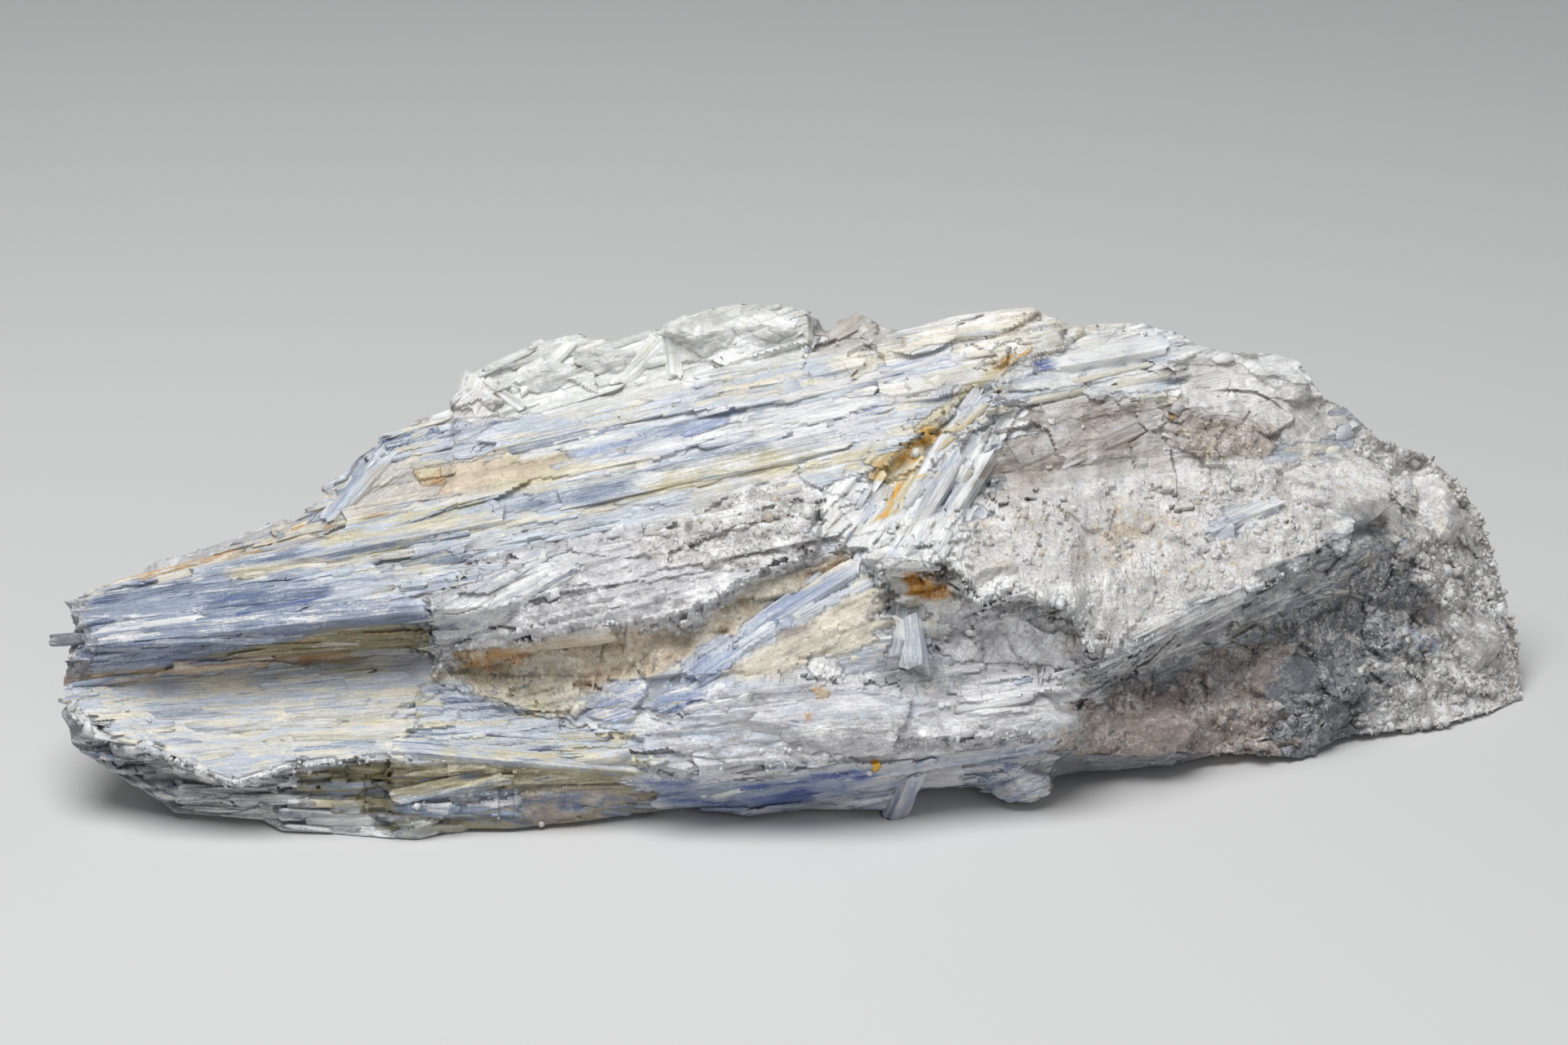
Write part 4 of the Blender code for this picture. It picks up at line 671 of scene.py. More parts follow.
def linear(code):
    """The linear colour of an sRGB hex value, by the standard curve: c/12.92 below 0.04045, else a 2.4
    power."""
    shares = [int(code[k:k + 2], 16) / 255.0 for k in (1, 3, 5)]
    return tuple(c / 12.92 if c <= 0.04045 else ((c + 0.055) / 1.055) ** 2.4 for c in shares)


def swatch(name, description, code):
    """A colour that a user may change."""
    return bpy.props.FloatVectorProperty(
        name=name, description=description, subtype="COLOR", size=3, min=0.0, max=1.0, default=linear(code))


class KyaniteColours(bpy.types.PropertyGroup):
    """The colours of the kyanite, the quartz and the iron stain."""
    frost: swatch("Frost", "Splintered kyanite and sugary quartz, almost white", "#F3F3F2")
    pale: swatch("Pale blue", "Fresh cleavage faces of kyanite", "#C9D1DC")
    steel: swatch("Steel blue", "Grey-blue kyanite", "#9CA8BC")
    slate: swatch("Slate blue", "Dark blades of kyanite", "#6E7D9A")
    deep: swatch("Deep blue", "The bluest cores of the crystals", "#4F63A2")
    teal: swatch("Glassy blue", "Translucent grey-green blades", "#A3B1B8")
    cream: swatch("Cream", "Weathered kyanite with a trace of clay", "#E6DFCE")
    straw: swatch("Straw", "Yellowish stain along the blades", "#DAD2B3")
    greenish: swatch("Greenish white", "Translucent blocks along the top", "#DBDCD6")
    sand: swatch("Sand", "Earth that fills the hollows", "#DCCBB4")
    ochre: swatch("Ochre", "Iron-stained clay", "#CBA476")
    rust: swatch("Rust", "Iron stain in the fissure and the pocket", "#B97A22")
    amber: swatch("Amber", "The brightest iron stain", "#E0A93C")
    yellow: swatch("Yellow", "A small bright crust", "#FBC011")
    olive: swatch("Olive", "Brown-green stain between the layers", "#A09878")
    brown: swatch("Brown", "Dark earth", "#86745E")
    grey_brown: swatch("Grey brown", "Dirty quartz in the valleys", "#B5AAA1")
    quartz: swatch("Quartz grey", "Plain grey quartz", "#C9C5C1")
    pink: swatch("Pinkish quartz", "Translucent brownish quartz below the ledge", "#BBAEA6")
    sugar: swatch("Sugary quartz", "White granular quartz of the ledge", "#E3E0DD")
    ash: swatch("Ash", "Plain grey broken kyanite", "#A5A6AB")
    azure: swatch("Azure", "Clear blue cleavage faces", "#A1AECC")
    lilac: swatch("Lilac grey", "Granular kyanite of the broken block", "#D5D4D7")
    dark: swatch("Dark blue grey", "Shaded coarse grains", "#82848B")


class KyaniteSizes(bpy.types.PropertyGroup):
    """How many small crystals dress the mass, and how large they are."""
    front_blades: bpy.props.IntProperty(
        name="Front blades", description="Thin kyanite blades on the front", default=500, min=0)
    back_blades: bpy.props.IntProperty(
        name="Back blades", description="Thin kyanite blades on the back and the ends", default=500, min=0)
    blade_length: bpy.props.FloatProperty(
        name="Blade length", description="Middle length of the thin blades", default=0.015, unit="LENGTH")
    blade_width: bpy.props.FloatProperty(
        name="Blade width", description="Middle width of the thin blades", default=0.0014, unit="LENGTH")
    grains: bpy.props.IntProperty(
        name="Quartz grains", description="Broken grains on the granular areas", default=8500, min=0)
    grain_size: bpy.props.FloatProperty(
        name="Grain size", description="Middle width of the quartz grains", default=0.0008, unit="LENGTH")
    flakes: bpy.props.IntProperty(
        name="Mica flakes", description="Small shining flakes", default=150, min=0)
    flake_size: bpy.props.FloatProperty(
        name="Flake size", description="Width of the mica flakes", default=0.0006, unit="LENGTH")


class KyaniteStage(bpy.types.PropertyGroup):
    """The floor, the lights and the camera."""
    floor: swatch("Floor", "Plain pale floor", "#D2D2D2")
    key: bpy.props.FloatProperty(
        name="Key light", description="Large soft light above", default=6.1, unit="POWER")
    fill: bpy.props.FloatProperty(
        name="Fill light", description="Soft light from the front", default=1.0, unit="POWER")
    sky: bpy.props.FloatProperty(name="Sky", description="Strength of the even light", default=0.14, min=0.0)


def eye_axes():
    """The picture's right, its up, and the way towards the eye."""
    right = np.array((1.0, 0.0, 0.0))
    up = np.array((0.0, math.sin(EYE_RISE), math.cos(EYE_RISE)))
    toward = np.array((0.0, -math.cos(EYE_RISE), math.sin(EYE_RISE)))
    return right, up, toward


def from_seen(seen):
    """Seen points as x, y, z: each slides along the eye's ray through it to its nearness."""
    seen = np.asarray(seen, float)
    right, up, toward = eye_axes()
    spread = ((EYE_DISTANCE - seen[..., 2]) / EYE_DISTANCE)[..., None]
    across = seen[..., 0:1] * right
    above = (seen[..., 1:2] - EYE_HEIGHT_ON_PLANE) * up
    return PLANE_CENTRE + spread * (across + above) + seen[..., 2:3] * toward


def to_seen(points):
    """The seen coordinates of x, y, z points."""
    right, up, toward = eye_axes()
    local = np.asarray(points, float) - PLANE_CENTRE
    near = local @ toward
    spread = (EYE_DISTANCE - near) / EYE_DISTANCE
    return np.stack([local @ right / spread, local @ up / spread + EYE_HEIGHT_ON_PLANE, near], -1)


def smooth(x):
    """0 below 0, 1 above 1, and an S between."""
    x = np.clip(x, 0.0, 1.0)
    return x * x * (3.0 - 2.0 * x)


def lattice(cell, seed):
    """A fixed pseudo-random number from 0 to 1 for each whole-number cell (n, 3)."""
    c = cell.astype(np.int64)
    n = (c[..., 0] * 73856093) ^ (c[..., 1] * 19349663) ^ (c[..., 2] * 83492791) ^ (seed * 2654435761)
    n = (n ^ (n >> 13)) & 0x7FFFFFFF
    n = (n * 1274126177) & 0x7FFFFFFF
    n = (n ^ (n >> 16)) & 0x7FFFFFFF
    return (n % 65521) / 65521.0


def facets(points, size, seed):
    """Broken facets: space is split round one jittered seed point a cell, and each share is a plane with its
    own height and tilt. The result runs from about -1 to 1."""
    p = points / np.asarray(size, float)
    home = np.floor(p)
    best = np.full(len(p), np.inf)
    height = np.zeros(len(p))
    for dx in (-1, 0, 1):
        for dy in (-1, 0, 1):
            for dz in (-1, 0, 1):
                cell = home + (dx, dy, dz)
                centre = cell + np.stack([lattice(cell, seed + k) for k in range(3)], -1)
                away = p - centre
                distance = (away**2).sum(-1)
                tilt = np.stack([lattice(cell, seed + k) - 0.5 for k in range(3, 6)], -1)
                plane = 1.4 * (lattice(cell, seed + 6) - 0.5) + 1.3 * (away * tilt).sum(-1)
                closer = distance < best
                best = np.where(closer, distance, best)
                height = np.where(closer, plane, height)
    return height


def packed(points, size, seed):
    """Grains packed side by side: the highest dome, height + tilt - 1.2 |away|^2, round the jittered seed
    points, with a third of the nearest one's broken plane. The result runs from about -0.8 to 0.8."""
    p = points / np.asarray(size, float)
    home = np.floor(p)
    nearest = np.full(len(p), np.inf)
    height = np.zeros(len(p))
    top = np.full(len(p), -np.inf)
    for dx in (-1, 0, 1):
        for dy in (-1, 0, 1):
            for dz in (-1, 0, 1):
                cell = home + (dx, dy, dz)
                away = p - cell - np.stack([lattice(cell, seed + k) for k in range(3)], -1)
                distance = (away**2).sum(-1)
                tilt = np.stack([lattice(cell, seed + k) - 0.5 for k in range(3, 6)], -1)
                plane = 1.2 * (lattice(cell, seed + 6) - 0.5) + 1.3 * (away * tilt).sum(-1)
                top = np.maximum(top, plane - 1.2 * distance)
                height = np.where(distance < nearest, plane, height)
                nearest = np.minimum(nearest, distance)
    return top + 0.33 * height


def swell(points, size, seed):
    """Soft value noise from 0 to 1: the eight corners of a cell, mixed by an S curve along each axis."""
    p = points / np.asarray(size, float)
    home = np.floor(p)
    f = smooth(p - home)
    total = np.zeros(len(p))
    for corner in np.ndindex(2, 2, 2):
        weight = np.prod(np.where(corner, f, 1.0 - f), -1)
        total += weight * lattice(home + corner, seed)
    return total


def inside(across, up, outline, soft):
    """1 inside a closed outline and 0 outside it, passing from one to the other over the soft distance."""
    away = np.full(len(across), np.inf)
    within = np.zeros(len(across), bool)
    for (x0, y0), (x1, y1) in zip(outline, outline[1:] + outline[:1]):
        ex, ey = x1 - x0, y1 - y0
        t = np.clip(((across - x0) * ex + (up - y0) * ey) / (ex * ex + ey * ey), 0.0, 1.0)
        away = np.minimum(away, np.hypot(across - x0 - t * ex, up - y0 - t * ey))
        crosses = (y0 > up) != (y1 > up)
        if ey:
            within ^= crosses & (across < x0 + (up - y0) * ex / ey)
    return smooth(0.5 + np.where(within, away, -away) / (2.0 * soft))


def mean_width(outline):
    """The mean width of an outline: twice its area over half its length round."""
    x, y = np.array(outline, float).T
    area = 0.5 * abs(np.sum(x * np.roll(y, -1) - y * np.roll(x, -1)))
    return 2.0 * area / np.hypot(np.roll(x, -1) - x, np.roll(y, -1) - y).sum()


def line_points(k, shares):
    """Points at these shares of the reach of line k, as x, y, z. The line is straight between its own
    points."""
    table = np.array(STRIPS[k][0], float)
    across = table[0, 0] + shares * (table[-1, 0] - table[0, 0])
    points = np.stack([across, *(np.interp(across, table[:, 0], table[:, j]) for j in (1, 2))], -1)
    return from_seen(points) if k < SEEN_STRIPS else points + BENCH_SHIFT


@functools.lru_cache(maxsize=6)
def skin_lines(start, end, stations):
    """The twelve lines at this many stations between two shares of the length, as (12, stations, 3), and the
    middle of each station's ring."""
    shares = END_TRIM + (1.0 - 2.0 * END_TRIM) * np.linspace(start, end, stations)
    lines = np.stack([line_points(k, shares) for k in range(ROUND)])
    return lines, lines.mean(0)


def bare_skin(places, start, end, stations):
    """The bare skin at places counted in strips round: low + (high - low) f + out * crown * 4 f (1 - f),
    where f is the share between a line and the next and out is square to both in the ring's plane."""
    lines, middle = skin_lines(start, end, stations)
    columns = []
    for place in places:
        k = int(math.floor(place)) % ROUND
        f = place - math.floor(place)
        low, high = lines[k], lines[(k + 1) % ROUND]
        edge = high - low
        edge[:, 0] = 0.0
        out = np.stack([np.zeros(stations), edge[:, 2], -edge[:, 1]], -1)
        out /= np.linalg.norm(out, axis=1, keepdims=True) + 1e-9
        facing = np.sign(((low + high) / 2 - middle)[:, 1:] * out[:, 1:]).sum(-1, keepdims=True)
        out *= np.where(facing < 0, -1.0, 1.0)
        columns.append(low + (high - low) * f + out * STRIPS[k][1] * 4.0 * f * (1.0 - f))
    return np.stack(columns, 1)


def turned(points, angle):
    """Distances along the grain, across it, and in depth, where the grain rises by the angle to the right."""
    c, s = np.cos(angle), np.sin(angle)
    along = points[:, 0] * c + points[:, 1] * s
    across = -points[:, 0] * s + points[:, 1] * c
    return np.stack([along, across, points[:, 2]], -1)


def from_behind(points):
    """Distances along the back, up it, and in depth, in millimetres."""
    return (points - PLANE_CENTRE)[:, [0, 2, 1]]


def is_behind(places, lead=0.6):
    """1 on the back and under the base, 0 on the front. The lead tells how far before the last line it
    begins."""
    place = places % ROUND
    return smooth((place - SEEN_STRIPS + lead) / 0.6) * smooth((ROUND - 0.85 - place) / 0.1)


def coarse_relief(points, places, calm):
    """The solid's own relief in millimetres: blades over the left and the top, grains over the right, and the
    raised and sunk areas, whose edges are jagged here."""
    seen = to_seen(points)
    front = (places % ROUND) < SEEN_STRIPS
    lower_left = smooth((LOWER_GRAIN_TOP - seen[:, 1]) / LOWER_GRAIN_SOFT)
    angle = UPPER_GRAIN + (LOWER_GRAIN - UPPER_GRAIN) * lower_left
    blades = BLADE_RELIEF * facets(turned(seen, angle), BLADE_CELL, RELIEF_SEED)
    grains = GRAIN_RELIEF * facets(points - PLANE_CENTRE, GRAIN_CELL, RELIEF_SEED + 20)
    behind = turned(from_behind(points), BACK_GRAIN)
    jag = np.stack([STEP_JAG * facets(seen, STEP_JAG_CELL, RELIEF_SEED + 300 + 10 * k) for k in range(2)], -1)
    ragged = behind + np.concatenate([2.0 * jag, jag[:, :1] * 0.0], -1)
    back = BACK_LEDGE_RELIEF * facets(ragged, BACK_LEDGE_CELL, RELIEF_SEED + 60)
    back += BACK_RELIEF * facets(behind, BACK_CELL, RELIEF_SEED + 80)
    granular = smooth((seen[:, 0] + GRAIN_BORDER_LEAN * seen[:, 1] - GRAIN_BORDER) / GRAIN_BORDER_SOFT)
    granular *= smooth((GRAIN_TOP - seen[:, 1]) / GRAIN_TOP_SOFT)
    lift = (blades + (grains - blades) * granular) * np.minimum(calm, 1.0)
    lift += (back - lift) * is_behind(places)
    across, up = (seen[:, :2] + jag).T
    for height, soft, outline in (*STEPS.values(), *FINE_STEPS.values()):
        lift += height * inside(across, up, outline, soft) * front
    return lift


def fine_relief(grain, local, granular, ledge, calm, seed):
    """Fine relief in millimetres: long facets along the grain, or broken grains, and ledges like shingles,
    each standing out at its lower edge: drop * (1 - fraction(across / height + wander))."""
    lift = np.zeros(len(grain))
    if np.min(granular) < 1.0:
        for k, (cell, height) in enumerate(FINE_BLADES):
            lift += (1.0 - granular) * calm * height * packed(grain, cell, seed + 10 * k)
        height, drop = ledge
        wave = grain[:, 1] / height + LEDGE_WANDER * swell(grain, LEDGE_WANDER_CELL, seed + 5)
        wave += 0.12 * facets(grain, (3.0, 3.0, 3.0), seed + 6)
        lift += (1.0 - granular) * drop * (0.5 - (wave - np.floor(wave)))
    if np.max(granular) > 0.0:
        for k, (cell, height) in enumerate(FINE_GRAINS):
            lift += granular * calm * height * packed(local, cell, seed + 30 + 10 * k)
    return lift


def paint(points, places, with_relief=False):
    """What lies at each point: three colours, the cuts between them, the share of quartz, and the grain's
    turn, with the fine relief where it is asked for. Zones are laid over one another, and their edges finger
    along the grain."""
    colours = bpy.context.scene.kyanite_colours
    seen = to_seen(points)
    local = points - PLANE_CENTRE
    count = len(points)
    general = turned(seen, np.full(count, UPPER_GRAIN * 0.7))
    fingers = swell(general, ZONE_FINGER_CELL, RELIEF_SEED + 500) + 0.5 * swell(
        general, np.array(ZONE_FINGER_CELL) * 0.4, RELIEF_SEED + 501) - 0.75
    wander = swell(local, ZONE_WANDER_CELL, RELIEF_SEED + 502) + 0.5 * swell(
        local, np.array(ZONE_WANDER_CELL) * 0.3, RELIEF_SEED + 503) - 0.75
    fingers *= ZONE_FINGER
    wander *= ZONE_WANDER
    angle = np.full(count, float(DEFAULT_ZONE[0]))
    weights = []
    for rise, _, _, _, soft, outline in ZONES.values():
        reach = min(max(mean_width(outline) / ZONE_FULL_WANDER, ZONE_LEAST_WANDER), 1.0)
        weight = inside(seen[:, 0] + reach * fingers, seen[:, 1] + reach * wander, outline, soft)
        weights.append(weight)
        angle[weight > 0.5] = rise
    layers = [("", DEFAULT_ZONE, np.ones(count))]
    layers += [(key, zone, weight) for (key, zone), weight in zip(ZONES.items(), weights)]

    def palette(names):
        return np.array([tuple(getattr(colours, name)) for name in names])

    tints = np.zeros((count, 3, 3))
    shares = np.zeros((count, 3))
    lift = np.zeros(count)
    calm = np.zeros(count)
    left = np.ones(count)
    for k, (key, (rise, granular, names, parts, *_), weight) in reversed(list(enumerate(layers))):
        seen_part = weight * left
        left = left * (1.0 - weight)
        touched = seen_part > 0.004
        if not touched.any():
            continue
        w = seen_part[touched]
        if with_relief:
            own = turned(seen[touched], np.full(len(w), math.radians(rise)))
            lift[touched] += w * fine_relief(
                own, local[touched], np.full(len(w), granular), LEDGES.get(key, PLAIN_LEDGE),
                CALM.get(key, 1.0), RELIEF_SEED + 910 + k)
        tints[touched] += palette(names) * w[:, None, None]
        shares[touched] += np.array((*parts, granular)) * w[:, None]
        calm[touched] += CALM.get(key, 1.0) * w
    behind = is_behind(places, BEHIND_LEAD)
    at_back = behind > 0.0
    if at_back.any():
        flat = from_behind(points[at_back])
        spots = turned(flat, BACK_GRAIN)
        which = swell(spots, BACK_PATCH_CELL, RELIEF_SEED + 700) + 0.5 * swell(
            spots, np.array(BACK_PATCH_CELL) * 0.3, RELIEF_SEED + 701) - 0.25
        which = np.clip(which * 1.5 - 0.25, 0.0, 1.0) * (len(BACK_PATCHES) - 1)
        step = np.minimum(which.astype(int), len(BACK_PATCHES) - 2)
        blend = smooth((which - step) * 2.0 - 0.5)[:, None]
        looks = np.stack([palette(names) for _, names, _, _ in BACK_PATCHES])
        looks = looks[step] + (looks[step + 1] - looks[step]) * blend[..., None]
        parts = np.array([(*share, granular) for _, _, share, granular in BACK_PATCHES])
        parts = parts[step] + (parts[step + 1] - parts[step]) * blend
        rises = np.array([rise for rise, *_ in BACK_PATCHES])[np.round(which).astype(int)]
        spots = turned(flat, np.radians(rises))
        right = smooth((points[at_back, 0] - BACK_GRAINS_FROM) / 12.0)
        parts[:, 2] += (1.0 - parts[:, 2]) * right
        looks += (palette(("cream", "quartz", "steel")) - looks) * right[:, None, None]
        w = behind[at_back]
        tints[at_back] += (looks - tints[at_back]) * w[:, None, None]
        shares[at_back] += (parts - shares[at_back]) * w[:, None]
        angle[at_back] = np.where(w > 0.5, rises, angle[at_back])
        if with_relief:
            raised = fine_relief(spots, local[at_back], parts[:, 2], (3.2, 1.0), 1.0, RELIEF_SEED + 1000)
            lift[at_back] += (raised - lift[at_back]) * w
        calm[at_back] += (1.0 - calm[at_back]) * w
    return {"tints": tints, "shares": shares, "angle": np.radians(angle), "seen": seen, "behind": behind,
            "lift": lift, "calm": calm}


def grain_coordinates(points, look):
    """Millimetres along the grain, across it, and in depth: in the picture on the front, from behind on the
    back."""
    flat = np.where(look["behind"][:, None] > 0.5, from_behind(points), look["seen"])
    return turned(flat, look["angle"])


@functools.lru_cache(maxsize=4)
def part_shape(name):
    """One part of the mass as rings (stations, round, 3), with its bare skin, places and looks. Its open side
    is closed through the inside by a chord that bows towards the middle of the ring."""
    first, last, *run = PARTS[name]
    stops = [first, *range(math.ceil(first), math.ceil(last)), last]
    places = [[first]]
    for low, high in zip(stops, stops[1:]):
        count = max(int(round((high - low) * COLUMNS[math.floor(low) % ROUND])), 1)
        places.append(low + (high - low) * np.arange(1, count + 1) / count)
    places = np.concatenate(places)
    bare = bare_skin(places, *run)
    lines, middle = skin_lines(*run)
    ends, _ = skin_lines(0.0, 1.0, 2)
    flat = bare.reshape(-1, 3)
    spread = np.broadcast_to(places, bare.shape[:2]).reshape(-1)
    look = paint(flat, spread, with_relief=True)
    lift = coarse_relief(flat, spread, look["calm"])
    grain = grain_coordinates(flat, look)
    fine = look["lift"]
    to_end = np.maximum(np.minimum(flat[:, 0] - ends[..., 0].min(), ends[..., 0].max() - flat[:, 0]), 0.0)
    ring_place = spread % ROUND
    above = np.maximum(smooth(ring_place / 0.25), smooth((flat[:, 2] - 0.5) / 2.0))
    near_base = smooth((BASE_FROM - ring_place) / 0.6) * above
    fade = smooth(to_end / END_FADE) * near_base
    _, _, toward = eye_axes()
    over = smooth(ring_place - SEEN_STRIPS + 1.0)[:, None]
    way = toward * (1.0 - over) + BACK_LOOK * over
    way /= np.linalg.norm(way, axis=1, keepdims=True)
    fine_share = FINE_AT_ENDS + (1.0 - FINE_AT_ENDS) * fade
    fine_share *= FINE_AT_BASE + (1.0 - FINE_AT_BASE) * near_base
    raised = flat + way * (lift * fade + fine * fine_share)[:, None]
    rings = raised.reshape(bare.shape)
    start, end = rings[:, -1], rings[:, 0]
    chord = []
    for j in range(1, CHORD_COLUMNS + 1):
        t = j / (CHORD_COLUMNS + 1)
        straight = start + (end - start) * t
        inward = middle - straight
        inward /= np.linalg.norm(inward, axis=1, keepdims=True) + 1e-9
        reach = np.minimum(CHORD_INSET, 0.6 * np.linalg.norm(middle - straight, axis=1, keepdims=True))
        chord.append(straight + inward * reach * 4.0 * t * (1.0 - t))
    chord = np.stack(chord, 1)
    return {"rings": np.concatenate([rings, chord], 1), "bare": bare, "middle": middle, "look": look,
            "grain": grain, "fine": fine, "skin": rings,
            "places": np.append(places, np.full(CHORD_COLUMNS, places[-1]))}


def rows_of(rings, tips):
    """Faces of rings joined one to the next, with a pole at each end: quads between rings, triangles at a
    pole."""
    n, m = rings
    a = np.arange(n * m).reshape(n, m)
    b = np.roll(a, -1, axis=1)
    quads = np.stack([a[:-1], b[:-1], b[1:], a[1:]], -1).reshape(-1, 4)
    low = np.stack([b[0], a[0], np.full(m, tips[0])], -1)
    high = np.stack([a[-1], b[-1], np.full(m, tips[1])], -1)
    return quads, np.concatenate([low, high])


def add_mesh(name, points, quads, triangles, attributes, sharp=None):
    """A mesh object from whole arrays, in millimetres, with its attributes. The faces are turned outwards
    when the volume they enclose comes out negative."""
    corners = np.concatenate([quads.ravel(), triangles.ravel()]).astype(np.int32)
    sizes = np.concatenate([np.full(len(quads), 4), np.full(len(triangles), 3)])
    starts = np.concatenate([[0], np.cumsum(sizes)[:-1]]).astype(np.int32)
    fan = np.concatenate([quads[:, [0, 1, 2]], quads[:, [0, 2, 3]], triangles]).astype(int)
    volume = np.einsum("ij,ij->", points[fan[:, 0]], np.cross(points[fan[:, 1]], points[fan[:, 2]]))
    if volume < 0:
        quads, triangles = quads[:, ::-1], triangles[:, ::-1]
        corners = np.concatenate([quads.ravel(), triangles.ravel()]).astype(np.int32)
    mesh = bpy.data.meshes.new(name)
    mesh.vertices.add(len(points))
    mesh.vertices.foreach_set("co", (np.clip(points, CAD_LOW, CAD_HIGH) * MM).astype(np.float32).ravel())
    mesh.loops.add(len(corners))
    mesh.loops.foreach_set("vertex_index", corners)
    mesh.polygons.add(len(sizes))
    mesh.polygons.foreach_set("loop_start", starts)
    mesh.update(calc_edges=True)
    for key, values in attributes.items():
        values = np.asarray(values, np.float32)
        if key.startswith("tint"):
            values = np.concatenate([values, np.ones((len(values), 1), np.float32)], 1)
            mesh.attributes.new(key, "FLOAT_COLOR", "POINT").data.foreach_set("color", values.ravel())
        elif values.ndim == 2:
            mesh.attributes.new(key, "FLOAT_VECTOR", "POINT").data.foreach_set("vector", values.ravel())
        else:
            mesh.attributes.new(key, "FLOAT", "POINT").data.foreach_set("value", values)
    if sharp is not None:
        mesh.shade_smooth()
        mesh.set_sharp_from_angle(angle=math.radians(sharp))
    if mesh.validate():
        raise RuntimeError(f"{name} has faults in its mesh")
    obj = bpy.data.objects.new(name, mesh)
    bpy.context.scene.collection.objects.link(obj)
    mesh.materials.append(stone_material())
    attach(obj, "root")
    return obj


def looks_as_attributes(tints, shares, grain, wear):
    """The arrays that the material reads."""
    return {"tint_a": tints[:, 0], "tint_b": tints[:, 1], "tint_c": tints[:, 2], "shares": shares,
            "grain": grain, "wear": wear}


def part_cap(shape, at, way, own_end):
    """Rings that shrink from an end ring to a point, ring + (tip - ring) * share, and what the material reads
    there. The specimen's own ends are broken across the blades; the others lie inside, where the next part
    goes on."""
    ring = shape["rings"][at]
    tip = (ring.min(0) + ring.max(0)) / 2
    tip[0] += way * (np.ptp(ring[:, 0]) / 2 + CAP_BULGE if own_end else -CUT_DENT)
    inward = np.array(END_RINGS if own_end else CAP_RINGS)
    flat = np.concatenate([(ring + (tip - ring) * inward[:, None, None]).reshape(-1, 3), tip[None]])
    wear = np.zeros(len(flat))
    if own_end:
        rough = sum(height * packed(flat - PLANE_CENTRE, cell, RELIEF_SEED + 1200 + 10 * k)
                    for k, (cell, height) in enumerate(END_BREAK))
        # The broken end's roughness goes to the material as well: raised grains lighter and pits darker, painted
        # highlight and painted shade
        wear = np.clip(rough, -1.0, 1.0)
        flat[:, 0] += way * rough * smooth(np.append(np.repeat(inward, len(ring)), 1.0) / 0.15)
    look = paint(flat, np.append(np.tile(shape["places"], len(inward)), shape["places"][0]))
    look["shares"][:, 2] = np.maximum(look["shares"][:, 2], END_GRANULAR)
    return flat, looks_as_attributes(look["tints"], look["shares"], grain_coordinates(flat, look), wear)


def part_mesh(name):
    """The mesh of one part of the mass: its rings, and a cap at each end."""
    shape = part_shape(name)
    start, end = PARTS[name][2:4]
    rings = shape["rings"]
    stations, round_ = rings.shape[:2]
    skin_round = shape["skin"].shape[1]
    index = np.arange(stations * skin_round).reshape(stations, skin_round)
    index = np.concatenate([index, np.repeat(index[:, -1:], round_ - skin_round, axis=1)], 1).ravel()
    look = shape["look"]
    # The fine relief's height is passed to the material, which darkens the hollows and lightens the ridges with
    # it: painted shade and painted highlight
    wear = np.clip(shape["fine"] / 0.5, -1.0, 1.0)
    middle = looks_as_attributes(
        look["tints"][index], look["shares"][index], shape["grain"][index], wear[index])
    low, low_look = part_cap(shape, 0, -1.0, start == 0.0)
    high, high_look = part_cap(shape, -1, 1.0, end == 1.0)
    count = len(low) - 1
    order = np.arange(count).reshape(-1, round_)[::-1].ravel()

    def joined(first, main, last):
        return np.concatenate([first[order], main, last[:-1], first[-1:], last[-1:]])

    points = joined(low, rings.reshape(-1, 3), high)
    quads, triangles = rows_of(((len(points) - 2) // round_, round_), (len(points) - 2, len(points) - 1))
    attributes = {key: joined(low_look[key], middle[key], high_look[key]) for key in middle}
    obj = add_mesh(f"{name}_mass", points, quads, triangles, attributes, sharp=38)
    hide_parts(NODE)
    return obj


@functools.lru_cache(maxsize=2)
def footing(side):
    """Where small crystals can stand: for each cell of a half-millimetre raster in the picture (or from
    behind), the point of the skin nearest to the viewer, with its bare normal, its look and its grain."""
    shapes = [part_shape(name) for name in SIDES[side]]
    normals = []
    for shape in shapes:
        bare = shape["bare"]
        normal = np.cross(np.gradient(bare, axis=0), np.gradient(bare, axis=1))
        normal /= np.linalg.norm(normal, axis=-1, keepdims=True) + 1e-9
        outward = ((bare - shape["middle"][:, None]) * normal).sum(-1, keepdims=True)
        normals.append((normal * np.where(outward.mean() < 0, -1.0, 1.0)).reshape(-1, 3))
    normal = np.concatenate(normals)
    points = np.concatenate([shape["skin"].reshape(-1, 3) for shape in shapes])
    look = {key: np.concatenate([shape["look"][key] for shape in shapes]) for key in shapes[0]["look"]}
    if side == "front":
        flat = to_seen(points)
        depth = flat[:, 2]
    else:
        flat = from_behind(points)
        up = np.array((0.0, -BACK_LOOK[2], BACK_LOOK[1]))
        flat[:, 1] = (points - PLANE_CENTRE) @ up
        depth = (points - PLANE_CENTRE) @ BACK_LOOK
    low = flat[:, :2].min(0) - 1.0
    cells = np.floor((flat[:, :2] - low) / RASTER_CELL).astype(int)
    width, height = cells.max(0) + 3
    flat_cell = cells[:, 0] * height + cells[:, 1]
    order = np.argsort(depth)
    raster = np.full(width * height, -1)
    raster[flat_cell[order]] = order
    raster = raster.reshape(width, height)
    for _ in range(2):
        for axis in (0, 1):
            for step in (1, -1):
                moved = np.roll(raster, step, axis=axis)
                raster = np.where(raster < 0, moved, raster)
    return {"points": points, "normal": normal, "flat": flat, "low": low, "raster": raster, "look": look}


